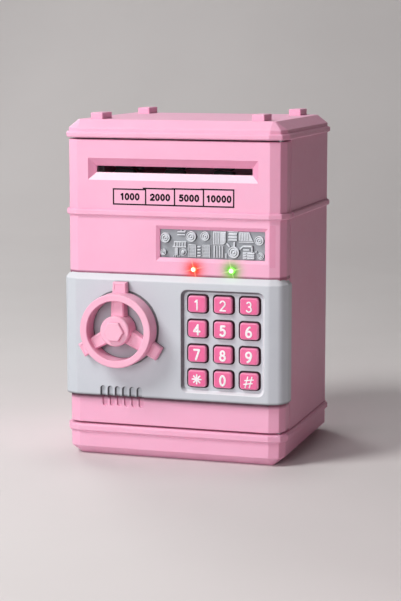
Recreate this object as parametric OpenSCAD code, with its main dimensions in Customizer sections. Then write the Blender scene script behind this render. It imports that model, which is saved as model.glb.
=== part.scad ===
// Toy safe coin bank: a case with a hinged electronic door, a keypad, a handwheel
// that turns the latch, and a roller feed behind the bill slot.
// Millimetres. X to the right, front towards -Y, +Z up, origin at the centre of the bottom face.

/* [Case] */
// Width of the case walls
case_w = 120.8; // [118:0.2:124]
// Depth of the case walls
case_d = 105.2; // [104:0.2:112]
// Size of the two-facet vertical corners
corner_r = 7.4; // [7:0.1:8]
// Thickness of the moulded walls
wall = 2.2; // [2:0.1:2.4]
// How far the bands stand out from the walls
band_out = 1.5; // [1:0.1:1.8]

/* [Door] */
// Depth of the door, from its face to the seam in the side walls
door_depth = 14.6; // [14.4:0.1:14.8]
// Width of the bill slot
slot_w = 86; // [80:1:88]
// Height of the bill slot
slot_h = 3.4; // [3:0.1:3.8]
// How far the grey panel stands out from the door
panel_out = 3.0; // [2.6:0.1:3.2]

/* [Keys] */
// Width of a key
key_w = 10.1; // [9.6:0.1:10.4]
// Height of a key
key_h = 8.9; // [8.4:0.1:9.2]
// Distance between key columns
key_pitch_x = 14.2; // [14:0.1:14.6]
// Distance between key rows
key_pitch_z = 13.25; // [12.9:0.05:13.4]

/* [Handwheel] */
// Outer radius of the rim
rim_r = 19.75; // [19:0.05:20.5]
// Inner radius of the rim
rim_inner_r = 15.9; // [15.6:0.1:16.4]
// Radius of the hub
hub_r = 8.1; // [7.6:0.1:8.4]
// Radius to the outer end of the grips
grip_r = 25.2; // [24.4:0.1:25.8]

/* [Hidden] */
$fn = 64;

key_names = ["key_1", "key_2", "key_3", "key_4", "key_5", "key_6",
    "key_7", "key_8", "key_9", "key_star", "key_0", "key_hash"];

// Colours
pink = [0.96, 0.72, 0.82];
deep_pink = [0.94, 0.47, 0.66];
grey = [0.80, 0.81, 0.84];
silver = [0.68, 0.71, 0.74];
steel = [0.75, 0.76, 0.78];
dark = [0.12, 0.12, 0.13];

// Half sizes and the main levels, from the floor up
hx = case_w / 2;
hy = case_d / 2;
front = -hy;
base_chamfer = 4.8;
base_flange_z = 13.1;
base_top = 17.3;
base_inset = 5.9;
door_gap = 0.9;
door_z0 = base_top + door_gap;
band_z0 = 130.8;
band_z1 = 134.1;
lid_z0 = 172;
door_z1 = lid_z0 - door_gap;
lid_flange_z = 175.1;
lid_step_z = 177;
lid_top = 181.5;
lid_inset = 5.9;
lug_h = 3.4;
lug_w = 6.8;
lug_d = 14.8;
lug_spots = [for (x = [-44.6, 44.6]) for (y = [-37.8, 39.1]) [x, y]];
floor_t = 2.6;
inner_inset = 4.2;
band_bevel = 0.7;
base_band_bevel = 0.9;
seam_y = front + door_depth;
seam_gap = 0.9;
shell_y = seam_y + seam_gap;
skin_back = front + wall;

// Case screws and their columns
column_x = 51;
column_front_y = -30;
column_back_y = 43;
column_r = 3.8;
column_low = 6.1;
column_low_h = 18;
column_high = 150;
column_rib = 1;
column_spots = [for (x = [-column_x, column_x]) for (y = [column_front_y, column_back_y]) [x, y]];
screw_r = 1.4;
thread_gap = 0.02;

// Door pins
pin_x = hx - 3.4;
pin_y = front + 6.6;
pin_r = 1.4;
pin_boss_r = 2.7;
pin_play = 0.05;

// Front features, as places on the door's face
slot_z = 155.3;
slot_mouth_w = 93.6;
slot_mouth_z0 = 149.8;
slot_mouth_z1 = 161.2;
slot_depth = 3;
window_x0 = -7.1;
window_x1 = 50.4;
window_z0 = 109.4;
window_z1 = 124.5;
window_bevel = 1.8;
led_z = 103.8;
red_x = 12;
green_x = 32.7;
led_r = 1.5;
groove_x = -38.2;
groove_pitch = 4.12;
groove_w = 2.9;
groove_z0 = 27.8;
groove_z1 = 39.2;
groove_count = 6;

// Grey panel
panel_y = front - panel_out;
panel_side = 1.9;
panel_r = 8.8;
panel_z0 = 34;
panel_z1 = 99.9;
panel_bevel = 3;
panel_end_y = front + 11.2;
recess_x0 = 5.8;
recess_x1 = 51;
recess_z0 = 38.4;
recess_z1 = 93;
recess_slope = 1;
recess_corner = 3.4;
recess_y = panel_y + 2.6;
recess_floor_t = 1.6;
keypad_x = 28.65;
keypad_z = 65.85;
well_w = 12;
well_h = 10.3;
well_corner = 2.2;
key_front_y = recess_y - 2.4;
key_flange_y = recess_y + recess_floor_t + 0.3;
key_back_y = key_flange_y + 1;
key_corner = 1.6;
membrane_y = key_back_y + 1.6;
board_y = membrane_y + 1;
board_t = 1.2;
panel_screw_spots = [for (x = [-50, -4]) for (z = [43, 92]) [x, z]];

// Handwheel and latch
wheel_x = -27;
wheel_z = 71.2;
rim_front_y = front - 15;
rim_back_y = panel_y - 0.4;
hub_face_y = front - 15.7;
hex_face_y = front - 18;
hex_across = 11.2;
spoke_front_y = front - 11.2;
spoke_back_y = front - 5;
spoke_root = 3.9;
spoke_tip = 3.3;
grip_front_y = front - 7.8;
grip_root = 4.2;
grip_tip = 3.8;
stub_r = 4;
stub_play = 0.06;
cam_y0 = -47;
cam_y1 = -43.4;
cam_r = 9;
arm_y0 = -34.7;
arm_y1 = -31.7;
arm_len = 24;
arm_w = 8;
keeper_y0 = -37.2;
keeper_y1 = -35.2;
plunger_y = (cam_y0 + cam_y1) / 2;
plunger_r = 1.5;
plunger_tip = -17.6;
solenoid_x0 = -16;
solenoid_x1 = -2;

// Inner cover and batteries
cover_y0 = -40;
cover_y1 = -38.2;
cover_z0 = 21.5;
cover_z1 = 135;
cover_hx = 57;
cover_screw_spots = [for (x = [-52, 52]) for (z = [26, 130]) [x, z]];
cell_r = 7.2;
cell_len = 49.5;
cell_pitch = 15;
cell_y = -36.5;
cell_x0 = 2.4;
cell_z = 54;
bay_wall = 1.2;
bay_x0 = 0.6;
bay_x1 = 54;
bay_z0 = cell_z - 22.6;
bay_z1 = cell_z + 22.6;
bay_front_y = -44;
bay_back_y = -28.4;
battery_cover_t = 1.6;

// Machine-like relief behind the window: discs are [x, z, radius, height]
relief_y = skin_back + 0.1;
relief_t = 1.5;
relief_rim = 1.4;
relief_discs = [[-4.1, 119.7, 2.5, 1.6], [10.1, 120.9, 2.7, 1.6], [17.7, 121.2, 2.5, 1.2],
    [-5.1, 112.3, 1.7, 1.6], [5.6, 112.6, 2.0, 1.2], [47.1, 119.4, 2.5, 1.4],
    [33.2, 113, 3.1, 1.6], [47.9, 112, 1.7, 1.2]];

// Blocks, bars and fins of the relief: [x from, x to, z from, z to, height]
relief_blocks = concat(
    [for (z = [121.4, 122.9]) [2.2, 7, z, z + 0.8, 1]],
    [[0.8, 2.4, 110, 115.4, 0.7]],
    [for (x = [8.4, 16]) [x, x + 4.4, 110, 116.7, 0.7]],
    [for (x = [8.4, 16]) for (i = [0:4]) [x + 0.5, x + 3.9, 110.6 + 1.15 * i, 111.2 + 1.15 * i, 1.1]],
    [for (i = [0:3]) [13.2, 15.4, 110.6 + 1.5 * i, 111.4 + 1.5 * i, 0.9]],
    [for (i = [0:2]) [22.7 + 1.1 * i, 23.2 + 1.1 * i, 117.4, 123.6, 1.7]],
    [for (z = [119, 120.6, 122.2]) [26, 28.6, z, z + 1, 1.7]],
    [for (i = [0:3]) [22.4 + 1.5 * i, 23.3 + 1.5 * i, 110, 116.6, 1.2]],
    [for (z = [120.2, 122.2]) [30.6, 35.2, z, z + 1.3, 1.3]],
    [for (x = [36.8, 38.6, 40.4]) [x, x + 0.5, 119.9, 123.6, 1.3]],
    [[32.6, 33.8, 116, 119.2, 1.1], [38.4, 43.9, 116.2, 117.2, 1.2], [42.9, 43.9, 113.6, 117.2, 1.2]],
    [[38.3, 44.5, 109.9, 113.7, 0.9]],
    [for (x = [39.2, 41.4, 43]) [x, x + 0.9, 110.6, 113, 1.5]]);

// Roller feed behind the bill slot
roller_y = -43.4;
drive_r = 4.2;
idler_r = 3.3;
roller_gap = 0.5;
drive_z = slot_z - roller_gap / 2 - drive_r;
idler_z = slot_z + roller_gap / 2 + idler_r;
shaft_r = 1.5;
sleeve_w = 10;
sleeve_spots = [-34, -6, 21];
end_plate_x = 46;
end_plate_t = 1.8;
gear_module = 0.6;
gear_teeth = 20;
pinion_teeth = 10;
gear_x0 = 49.3;
gear_x1 = 52.3;
mesh_slack = 0.2;
pinion_z = drive_z - gear_module * (gear_teeth + pinion_teeth) / 2 - mesh_slack;
motor_x0 = 31;
motor_x1 = 48.8;

// Coin slot in the back wall
coin_w = 32;
coin_h = 3.6;
coin_z = 156;
coin_bevel = 1.4;

// ---- shared shapes ----

function corner_points(cx, cy, r, start) =
    [for (i = [0:2]) [cx + r * cos(start + 45 * i), cy + r * sin(start + 45 * i)]];

// Outline of the case at half sizes a and b: each corner is two flat facets along a quarter circle
function plan(a, b, r) = concat(
    corner_points(a - r, b - r, r, 0), corner_points(r - a, b - r, r, 90),
    corner_points(r - a, r - b, r, 180), corner_points(a - r, r - b, r, 270));

// Distance from the centre to the side of that outline that faces the angle
function reach(a, b, r, angle) =
    (a - r) * abs(cos(angle)) + (b - r) * abs(sin(angle)) + r * (angle % 90 == 0 ? 1 : cos(22.5));

module plate(grow, z0, z1) {
    translate([0, 0, z0]) linear_extrude(z1 - z0) polygon(plan(hx + grow, hy + grow, corner_r + grow));
}

// The same outline with sides that lean: each level, from the bottom up, is [z, distance inwards]
module stack(a, b, r, levels) {
    intersection_for (angle = [0, 22.5, 67.5, 90, 112.5, 157.5]) {
        h = reach(a, b, r, angle);
        rotate([0, 0, angle]) rotate([90, 0, 0]) linear_extrude(4 * case_w, center = true)
            polygon(concat([for (level = levels) [level[1] - h, level[0]]],
                [for (i = [len(levels) - 1:-1:0]) [h - levels[i][1], levels[i][0]]]));
    }
}

// A band round the case with bevelled edges
module band(z0, z1, bevel) {
    stack(hx + band_out, hy + band_out, corner_r + band_out,
        [[z0, bevel], [z0 + bevel, 0], [z1 - bevel, 0], [z1, bevel]]);
}

module ycyl(r, y0, y1) {
    translate([0, y0, 0]) rotate([-90, 0, 0]) cylinder(r = r, h = y1 - y0);
}

module xcyl(r, x0, x1) {
    translate([x0, 0, 0]) rotate([0, 90, 0]) cylinder(r = r, h = x1 - x0);
}

// Draws a flat X-Z shape as a solid from y0 to y1
module yprism(y0, y1) {
    translate([0, y1, 0]) rotate([90, 0, 0]) linear_extrude(y1 - y0) children();
}

// Draws a flat Y-Z shape as a solid from x0 to x1
module xprism(x0, x1) {
    translate([x0, 0, 0]) rotate([90, 0, 90]) linear_extrude(x1 - x0) children();
}

module box(low, high) {
    translate(low) cube(high - low);
}

module rounded(w, h, r) {
    square([w, h - 2 * r], center = true);
    square([w - 2 * r, h], center = true);
    for (x = [-1, 1]) for (y = [-1, 1]) translate([x * (w / 2 - r), y * (h / 2 - r)]) circle(r);
}

module pill(w, z0, z1) {
    translate([-w / 2, z0 + w / 2]) square([w, z1 - z0 - w]);
    for (z = [z0 + w / 2, z1 - w / 2]) translate([0, z]) circle(w / 2);
}

// Rectangular funnel from the mouth at y0 to the throat at y1
module funnel(x0, x1, z0, z1, side, low, high, y0, y1) {
    intersection() {
        translate([0, 0, z0]) linear_extrude(z1 - z0)
            polygon([[x0, y0], [x1, y0], [x1 - side, y1], [x0 + side, y1]]);
        xprism(x0, x1) polygon([[y0, z0], [y0, z1], [y1, z1 - high], [y1, z0 + low]]);
    }
}

// The same with rounded corners: one slope all round, so the corners are cones
module rounded_funnel(x0, x1, z0, z1, slope, r, y0, y1) {
    funnel(x0 + r, x1 - r, z0, z1, 0, slope, slope, y0, y1);
    funnel(x0, x1, z0 + r, z1 - r, slope, 0, 0, y0, y1);
    for (x = [x0 + r, x1 - r]) for (z = [z0 + r, z1 - r])
        translate([x, y0, z]) rotate([-90, 0, 0]) cylinder(r1 = r, r2 = r - slope, h = y1 - y0);
}

module grooves(y0, y1) {
    for (i = [0:groove_count - 1]) translate([groove_x + i * groove_pitch, 0, 0])
        yprism(y0, y1) pill(groove_w, groove_z0, groove_z1);
}

module screw(r, head_r, head_t, length) {
    cylinder(r = head_r, h = head_t);
    translate([0, 0, head_t]) cylinder(r = r, h = length);
}

// ---- case ----

module body_shell() {
    color(pink) difference() {
        union() {
            intersection() {
                union() {
                    difference() {
                        plate(0, base_top, lid_z0);
                        plate(-wall, base_top - 1, lid_z0 + 1);
                    }
                    difference() {
                        band(band_z0, band_z1, band_bevel);
                        plate(-0.5, band_z0 - 1, band_z1 + 1);
                    }
                }
                box([-case_w, shell_y, 0], [case_w, case_d, lid_top]);
            }
            for (s = column_spots) {
                translate([s[0], s[1], column_low]) cylinder(r = column_r, h = column_low_h);
                translate([s[0], s[1], column_high]) cylinder(r = column_r, h = lid_z0 - column_high);
                wall_x = sign(s[0]) * (hx - 1);
                for (z = [[base_top, column_low + column_low_h], [column_high, lid_z0]])
                    box([min(s[0], wall_x), s[1] - column_rib, z[0]],
                        [max(s[0], wall_x), s[1] + column_rib, z[1]]);
            }
        }
        for (s = column_spots) {
            translate([s[0], s[1], column_low - 1]) cylinder(r = screw_r + thread_gap, h = 13);
            translate([s[0], s[1], column_high - 1])
                cylinder(r = screw_r + 0.1, h = lid_z0 - column_high + 2);
        }
        box([-coin_w / 2, hy - wall - 1, coin_z - coin_h / 2],
            [coin_w / 2, hy + 1, coin_z + coin_h / 2]);
        mirror([0, 1, 0]) funnel(-coin_w / 2 - coin_bevel, coin_w / 2 + coin_bevel,
            coin_z - coin_h / 2 - coin_bevel, coin_z + coin_h / 2 + coin_bevel,
            coin_bevel, coin_bevel, coin_bevel, front, front + 1.2);
    }
}

module top_cover() {
    color(pink) difference() {
        union() {
            band(lid_z0, lid_flange_z, band_bevel);
            stack(hx, hy, corner_r, [[lid_z0 + 1, 0], [lid_step_z, 0], [lid_top, lid_inset]]);
            for (s = lug_spots)
                box([s[0] - lug_w / 2, s[1] - lug_d / 2, lid_top - 1],
                    [s[0] + lug_w / 2, s[1] + lug_d / 2, lid_top + lug_h]);
        }
        difference() {
            stack(hx - wall - 0.2, hy - wall - 0.2, corner_r - wall - 0.2,
                [[lid_z0 - 1, 0], [lid_step_z - 0.2, 0], [lid_top - 2.4, inner_inset]]);
            for (s = column_spots) translate([s[0], s[1], lid_z0]) cylinder(r = column_r, h = 10);
            translate([pin_x, pin_y, lid_z0]) cylinder(r = pin_boss_r + 0.4, h = 5);
        }
        for (s = column_spots)
            translate([s[0], s[1], lid_z0 - 1]) cylinder(r = screw_r + thread_gap, h = 7);
        translate([pin_x, pin_y, lid_z0 - 1]) cylinder(r = pin_r + thread_gap, h = 5.1);
    }
}

module base_tray() {
    color(pink) difference() {
        union() {
            stack(hx, hy, corner_r, [[0, base_inset], [base_chamfer, 0], [base_top, 0]]);
            band(base_flange_z, base_top, base_band_bevel);
        }
        difference() {
            stack(hx - wall, hy - wall, corner_r - wall,
                [[floor_t, inner_inset], [column_low - 0.1, 0], [base_top + 1, 0]]);
            box([-hx, front, base_top - 2.4], [hx, seam_y + 0.4, base_top]);
            translate([pin_x, pin_y, 9]) cylinder(r = pin_boss_r + 0.4, h = base_top - 9);
            for (s = column_spots)
                translate([s[0], s[1], floor_t - 1]) cylinder(r = column_r, h = column_low + 0.9 - floor_t);
        }
        for (s = column_spots) {
            translate([s[0], s[1], -1]) cylinder(r = 3.1, h = 4);
            translate([s[0], s[1], 2]) cylinder(r = screw_r + 0.1, h = 5);
        }
        translate([pin_x, pin_y, 10.4]) cylinder(r = pin_r + thread_gap, h = 8);
    }
}

module base_screws() {
    color(steel) for (s = column_spots) translate([s[0], s[1], 1.2]) screw(screw_r, 2.8, 1.8, 13);
}

module lid_screws() {
    color(steel) for (s = column_spots) translate([s[0], s[1], 148.2]) screw(screw_r, 2.8, 1.8, 27.5);
}

module hinge_pin_upper() {
    color(steel) translate([pin_x, pin_y, door_z1 - 4.2]) cylinder(r = pin_r, h = 8.8);
}

module hinge_pin_lower() {
    color(steel) translate([pin_x, pin_y, 10.5]) cylinder(r = pin_r, h = 11.6);
}

module latch_keeper() {
    color(steel) {
        box([wall - hx, keeper_y0, wheel_z - 5.5], [wall - hx + 1.2, -22, wheel_z + 5.5]);
        box([wall - hx, keeper_y0, wheel_z - 5.5], [-48, keeper_y1, wheel_z + 5.5]);
    }
}

// ---- door ----

module door_shell() {
    color(pink) difference() {
        union() {
            difference() {
                intersection() {
                    plate(0, door_z0, door_z1);
                    box([-case_w, -case_d, 0], [case_w, seam_y, lid_top]);
                }
                intersection() {
                    plate(-wall, door_z0 + wall, door_z1 - wall);
                    box([-case_w, -case_d, 0], [case_w, seam_y + 1, lid_top]);
                }
            }
            difference() {
                intersection() {
                    band(band_z0, band_z1, band_bevel);
                    box([-case_w, -case_d, 0], [case_w, seam_y - 1, lid_top]);
                }
                plate(-0.5, band_z0 - 1, band_z1 + 1);
            }
            box([-48.6, skin_back - 0.5, 147.5], [48.6, skin_back + 1.8, 163.5]);
            for (s = cover_screw_spots) translate([s[0], 0, s[1]]) ycyl(3, skin_back - 0.5, cover_y0);
            translate([wheel_x, 0, wheel_z]) ycyl(7, skin_back - 0.5, cam_y0 - 0.4);
            translate([pin_x, pin_y, door_z0]) cylinder(r = pin_boss_r, h = 5);
            translate([pin_x, pin_y, door_z1 - 5]) cylinder(r = pin_boss_r, h = 5);
        }
        funnel(-slot_mouth_w / 2, slot_mouth_w / 2, slot_mouth_z0, slot_mouth_z1,
            (slot_mouth_w - slot_w) / 2, slot_z - slot_h / 2 - slot_mouth_z0,
            slot_mouth_z1 - slot_z - slot_h / 2, front, front + slot_depth);
        box([-slot_w / 2, front + 1, slot_z - slot_h / 2], [slot_w / 2, front + 5, slot_z + slot_h / 2]);
        box([window_x0, front + 0.5, window_z0], [window_x1, front + 4, window_z1]);
        funnel(window_x0 - window_bevel, window_x1 + window_bevel, window_z0 - window_bevel,
            window_z1 + window_bevel, window_bevel, window_bevel, window_bevel, front, front + 1);
        for (x = [red_x, green_x]) translate([x, 0, led_z]) ycyl(led_r + 0.1, front - 1, front + 5);
        box([recess_x0 - 1.3, front - 1, recess_z0 - 1.9], [recess_x1 + 1.5, front + 5, recess_z1 + 1.5]);
        translate([wheel_x, 0, wheel_z]) ycyl(stub_r + stub_play, front - 1, cam_y0 + 1);
        grooves(front - 1, front + 1.2);
        for (s = cover_screw_spots)
            translate([s[0], 0, s[1]]) ycyl(screw_r + thread_gap, cover_y0 - 7, cover_y0 + 1);
        panel_screw_holes(0.95, front - 1, skin_back + 1);
        for (z = [door_z0 - 1, door_z1 - 6])
            translate([pin_x, pin_y, z]) cylinder(r = pin_r + pin_play, h = 7);
    }
}

module panel_screw_holes(r, y0, y1) {
    for (s = panel_screw_spots) translate([s[0], 0, s[1]]) ycyl(r, y0, y1);
}

module key_places() {
    for (col = [-1:1]) for (row = [0:3])
        translate([keypad_x + col * key_pitch_x, 0, keypad_z + (1.5 - row) * key_pitch_z]) children();
}

module front_panel() {
    color(grey) difference() {
        union() {
            difference() {
                intersection() {
                    stack(hx + panel_side, hy + panel_out, panel_r,
                        [[panel_z0, 0], [panel_z1 - panel_bevel, 0], [panel_z1, panel_bevel]]);
                    box([-case_w, -case_d, 0], [case_w, panel_end_y, lid_top]);
                }
                plate(0.05, panel_z0 - 1, panel_z1 + 1);
            }
            box([recess_x0 - 1, front - 1, recess_z0 - 1.6],
                [recess_x1 + 1.2, recess_y + recess_floor_t, recess_z1 + 1.2]);
        }
        rounded_funnel(recess_x0, recess_x1, recess_z0, recess_z1, recess_slope, recess_corner,
            panel_y, recess_y);
        key_places() yprism(recess_y - 1, recess_y + 3)
            rounded(well_w, well_h, well_corner);
        translate([wheel_x, 0, wheel_z]) ycyl(stub_r + 0.5, panel_y - 1, front + 1);
        grooves(panel_y - 1, panel_y + 1.7);
        panel_screw_holes(0.92, front - 1.2, front + 1);
    }
}

module panel_screws() {
    color(steel) for (s = panel_screw_spots) translate([s[0], 0, s[1]]) {
        ycyl(0.9, front - 1.1, skin_back);
        ycyl(2, skin_back, skin_back + 1.2);
    }
}

module boss(x, z, r, h) {
    translate([x, 0, z]) difference() {
        union() {
            ycyl(r, relief_y - h, relief_y + 0.5);
            ycyl(r * 0.42, relief_y - h - 0.3, relief_y);
        }
        difference() {
            ycyl(r * 0.8, relief_y - h - 0.1, relief_y - h + 0.35);
            ycyl(r * 0.6, relief_y - h - 1, relief_y);
        }
    }
}

module raised(x0, x1, z0, z1, h) {
    box([x0, relief_y - h, z0], [x1, relief_y + 0.5, z1]);
}

// A short pipe of the relief that lies at an angle
module slanted(x, z, angle, length, width, h) {
    translate([x, 0, z]) rotate([0, angle, 0])
        box([-length / 2, relief_y - h, -width / 2], [length / 2, relief_y + 0.5, width / 2]);
}

module relief_plate() {
    color(silver) union() {
        box([window_x0 - relief_rim, relief_y, window_z0 - relief_rim],
            [window_x1 + relief_rim, relief_y + relief_t, window_z1 + relief_rim]);
        for (d = relief_discs) boss(d[0], d[1], d[2], d[3]);
        for (b = relief_blocks) raised(b[0], b[1], b[2], b[3], b[4]);
        difference() {
            raised(-0.1, 8.3, 115.2, 118.3, 1);
            for (i = [0:3]) raised(1.4 + 1.7 * i, 2.3 + 1.7 * i, 115.6, 117.9, 1.4);
        }
        yprism(relief_y - 1.3, relief_y + 0.5)
            polygon([[22, 117], [27.8, 117], [29.2, 118.6], [29.2, 124], [22, 124]]);
        yprism(relief_y - 0.9, relief_y + 0.5)
            polygon([[35.9, 119.4], [43.7, 119.4], [41.6, 124], [35.9, 124]]);
        slanted(30.3, 117.2, 45, 2.4, 0.9, 1.3);
        slanted(38, 115.9, -45, 2.6, 1, 1.2);
    }
}

module led() {
    ycyl(led_r, front - 0.2, skin_back + 0.6);
    translate([0, front - 0.2, 0]) intersection() {
        sphere(led_r);
        box([-led_r, -led_r, -led_r], [led_r, 0, led_r]);
    }
    ycyl(1.9, skin_back + 0.6, skin_back + 1.6);
    for (x = [-0.7, 0.7]) translate([x, 0, 0]) ycyl(0.25, skin_back + 1.5, board_y);
}

module red_led() {
    color([0.9, 0.1, 0.08]) translate([red_x, 0, led_z]) led();
}

module green_led() {
    color([0.2, 0.8, 0.2]) translate([green_x, 0, led_z]) led();
}

module circuit_board() {
    color([0.1, 0.4, 0.2]) union() {
        box([4.2, board_y, 37.6], [53.4, board_y + board_t, 108.4]);
        box([12, board_y + board_t - 0.1, 86], [22, board_y + board_t + 1.4, 96]);
        box([30, board_y + board_t - 0.1, 84], [34, board_y + board_t + 1.2, 98]);
        for (x = [39, 44]) translate([x, 0, 92]) ycyl(2, board_y + board_t - 0.1, board_y + board_t + 4);
        for (z = [101, 104, 107])
            box([18, board_y + board_t - 0.1, z - 0.6], [20, board_y + board_t + 0.7, z + 0.6]);
    }
}

module keypad_membrane() {
    color([0.9, 0.9, 0.9]) union() {
        box([7, membrane_y, 39.6], [49.9, membrane_y + 0.9, 93]);
        key_places() ycyl(3, membrane_y - 0.3, membrane_y + 0.5);
    }
}

module speaker() {
    color(dark) translate([-29.6, 0, 36]) difference() {
        union() {
            ycyl(12.5, skin_back + 0.1, skin_back + 1.6);
            ycyl(11.4, skin_back + 1.5, skin_back + 3.4);
            ycyl(7, skin_back + 3.3, skin_back + 6.4);
        }
        ycyl(10.6, skin_back - 1, skin_back + 0.8);
    }
}

module lock_solenoid() {
    color(steel) difference() {
        box([solenoid_x0, plunger_y - 4.4, wheel_z - 5], [solenoid_x1, plunger_y + 4.4, wheel_z + 5]);
        translate([0, plunger_y, wheel_z]) xcyl(plunger_r + stub_play, solenoid_x0 - 1, solenoid_x1 - 2);
        for (side = [-1, 1])
            box([solenoid_x0 + 1.6, plunger_y - 5, wheel_z + side * 5 - 0.8],
                [solenoid_x1 - 1.6, plunger_y + 5, wheel_z + side * 5 + 0.8]);
    }
}

module inner_cover() {
    color([0.93, 0.93, 0.94]) difference() {
        union() {
            yprism(cover_y0, cover_y1) translate([0, (cover_z0 + cover_z1) / 2])
                rounded(2 * cover_hx, cover_z1 - cover_z0, 3);
            box([bay_x0 - bay_wall, bay_front_y - bay_wall, bay_z0 - bay_wall],
                [bay_x1 + bay_wall, bay_back_y, bay_z1 + bay_wall]);
            translate([28, 0, bay_z1 + 4]) ycyl(3, cover_y0, bay_back_y);
        }
        box([bay_x0, bay_front_y, bay_z0], [bay_x1, bay_back_y + 1, bay_z1]);
        translate([wheel_x, 0, wheel_z]) ycyl(stub_r + 0.5, cover_y0 - 1, cover_y1 + 1);
        for (s = cover_screw_spots)
            translate([s[0], 0, s[1]]) ycyl(screw_r + 0.1, cover_y0 - 1, cover_y1 + 1);
        translate([28, 0, bay_z1 + 4]) ycyl(screw_r + thread_gap, bay_back_y - 8, bay_back_y + 1);
        for (z = [30:6:54]) box([-44, cover_y0 - 1, z], [-16, cover_y1 + 1, z + 1.6]);
    }
}

module cover_screws() {
    color(steel) for (s = cover_screw_spots) translate([s[0], cover_y1 + 1.6, s[1]])
        rotate([90, 0, 0]) screw(screw_r, 2.6, 1.6, 8);
}

module battery_cover() {
    color([0.93, 0.93, 0.94]) difference() {
        union() {
            box([bay_x0 - bay_wall, bay_back_y, bay_z0 - bay_wall],
                [bay_x1 + bay_wall, bay_back_y + battery_cover_t, bay_z1 + bay_wall]);
            box([23, bay_back_y, bay_z1], [33, bay_back_y + battery_cover_t, bay_z1 + 8]);
        }
        translate([28, 0, bay_z1 + 4]) ycyl(screw_r + 0.1, bay_back_y - 1, bay_back_y + 3);
        for (z = [36:3:48]) box([12, bay_back_y + battery_cover_t - 0.6, z], [42, bay_back_y + 4, z + 1.2]);
    }
}

module battery_screw() {
    color(steel) translate([28, bay_back_y + battery_cover_t + 1.4, bay_z1 + 4])
        rotate([90, 0, 0]) screw(screw_r, 2.4, 1.4, 7);
}

module battery(row, turned) {
    translate([cell_x0, cell_y, cell_z + row * cell_pitch]) {
        xcyl(cell_r, turned ? 1 : 0, turned ? cell_len : cell_len - 1);
        xcyl(2.7, turned ? 0 : cell_len - 1.1, turned ? 1.1 : cell_len);
    }
}

module battery_upper() {
    color([0.15, 0.15, 0.17]) battery(1, false);
}

module battery_middle() {
    color([0.15, 0.15, 0.17]) battery(0, true);
}

module battery_lower() {
    color([0.15, 0.15, 0.17]) battery(-1, false);
}

module battery_contacts() {
    color(steel) for (row = [-1:1]) for (x = [bay_x0 + 0.1, bay_x1 - 0.5]) {
        z = cell_z + row * cell_pitch;
        box([x, cell_y - 4, z - 4], [x + 0.4, cell_y + 4, z + 4]);
    }
}

module feed_frame() {
    color([0.85, 0.85, 0.86]) difference() {
        union() {
            for (x = [-end_plate_x - end_plate_t, end_plate_x]) yprism(-48.4, -38.4)
                translate([x, 146.3]) square([end_plate_t, 18.5]);
            box([-end_plate_x - end_plate_t, -48.4, 164], [end_plate_x + end_plate_t, -38.4, 165.6]);
            for (x = [-40, 40]) box([x - 3, -46, 165.5], [x + 3, -41, door_z1 - wall]);
        }
        for (z = [drive_z, idler_z]) translate([0, roller_y, z]) xcyl(shaft_r + stub_play, -60, 60);
    }
}

module feed_motor() {
    color(steel) translate([0, roller_y, pinion_z]) difference() {
        union() {
            box([motor_x0 + 5, -6, -4], [motor_x1, 6, 4]);
            xcyl(4, motor_x0, motor_x0 + 6);
        }
        xcyl(1.06, motor_x1 - 6, motor_x1 + 1);
    }
}

module feed_guard() {
    color([0.93, 0.93, 0.94]) difference() {
        box([-54, -38.4, 136.2], [54, -34.8, 168.2]);
        box([-52.8, -39, 137.4], [52.8, -36.2, 167]);
        box([-44, -37, 151], [44, -34, 160]);
    }
}

// ---- handwheel ----

module handwheel() {
    color(pink) translate([wheel_x, 0, wheel_z]) difference() {
        union() {
            difference() {
                ycyl(rim_r, rim_front_y, rim_back_y);
                ycyl(rim_inner_r, rim_front_y - 1, rim_back_y + 1);
            }
            ycyl(hub_r, hub_face_y, rim_back_y);
            ycyl(stub_r, rim_back_y - 1, cam_y0 - 0.1);
            yprism(hex_face_y, hub_face_y + 0.5) circle(hex_across / 2, $fn = 6);
            for (i = [0:2]) rotate([0, 120 * i, 0]) {
                yprism(spoke_front_y, spoke_back_y)
                    polygon([[-spoke_root, hub_r - 1.2], [spoke_root, hub_r - 1.2],
                        [spoke_tip, rim_inner_r + 1], [-spoke_tip, rim_inner_r + 1]]);
                difference() {
                    yprism(grip_front_y, rim_back_y - 0.1)
                        polygon([[-grip_root, rim_r - 1.5], [grip_root, rim_r - 1.5],
                            [grip_tip, grip_r], [-grip_tip, grip_r]]);
                    ycyl(rim_inner_r + 0.5, grip_front_y - 1, rim_back_y);
                }
            }
        }
        ycyl(screw_r + thread_gap, front - 8, cam_y0 + 1);
    }
}

module latch_cam() {
    color(steel) translate([wheel_x, 0, wheel_z]) difference() {
        union() {
            ycyl(cam_r, cam_y0, cam_y1);
            ycyl(stub_r, cam_y1 - 0.1, arm_y0 + 0.1);
            ycyl(6, arm_y0, arm_y1);
            box([-arm_w / 2, arm_y0, -arm_len], [arm_w / 2, arm_y1, 0]);
        }
        ycyl(screw_r + 0.1, cam_y0 - 1, arm_y1 + 1);
        box([cam_r - 2.8, cam_y0 - 1, -2.1], [cam_r + 2, cam_y1 + 1, 2.1]);
        box([-2.1, cam_y0 - 1, cam_r - 2.8], [2.1, cam_y1 + 1, cam_r + 2]);
    }
}

module wheel_screw() {
    color(steel) translate([wheel_x, arm_y1 + 1.6, wheel_z]) rotate([90, 0, 0]) screw(screw_r, 3, 1.6, 27);
}

// ---- keys ----

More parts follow.
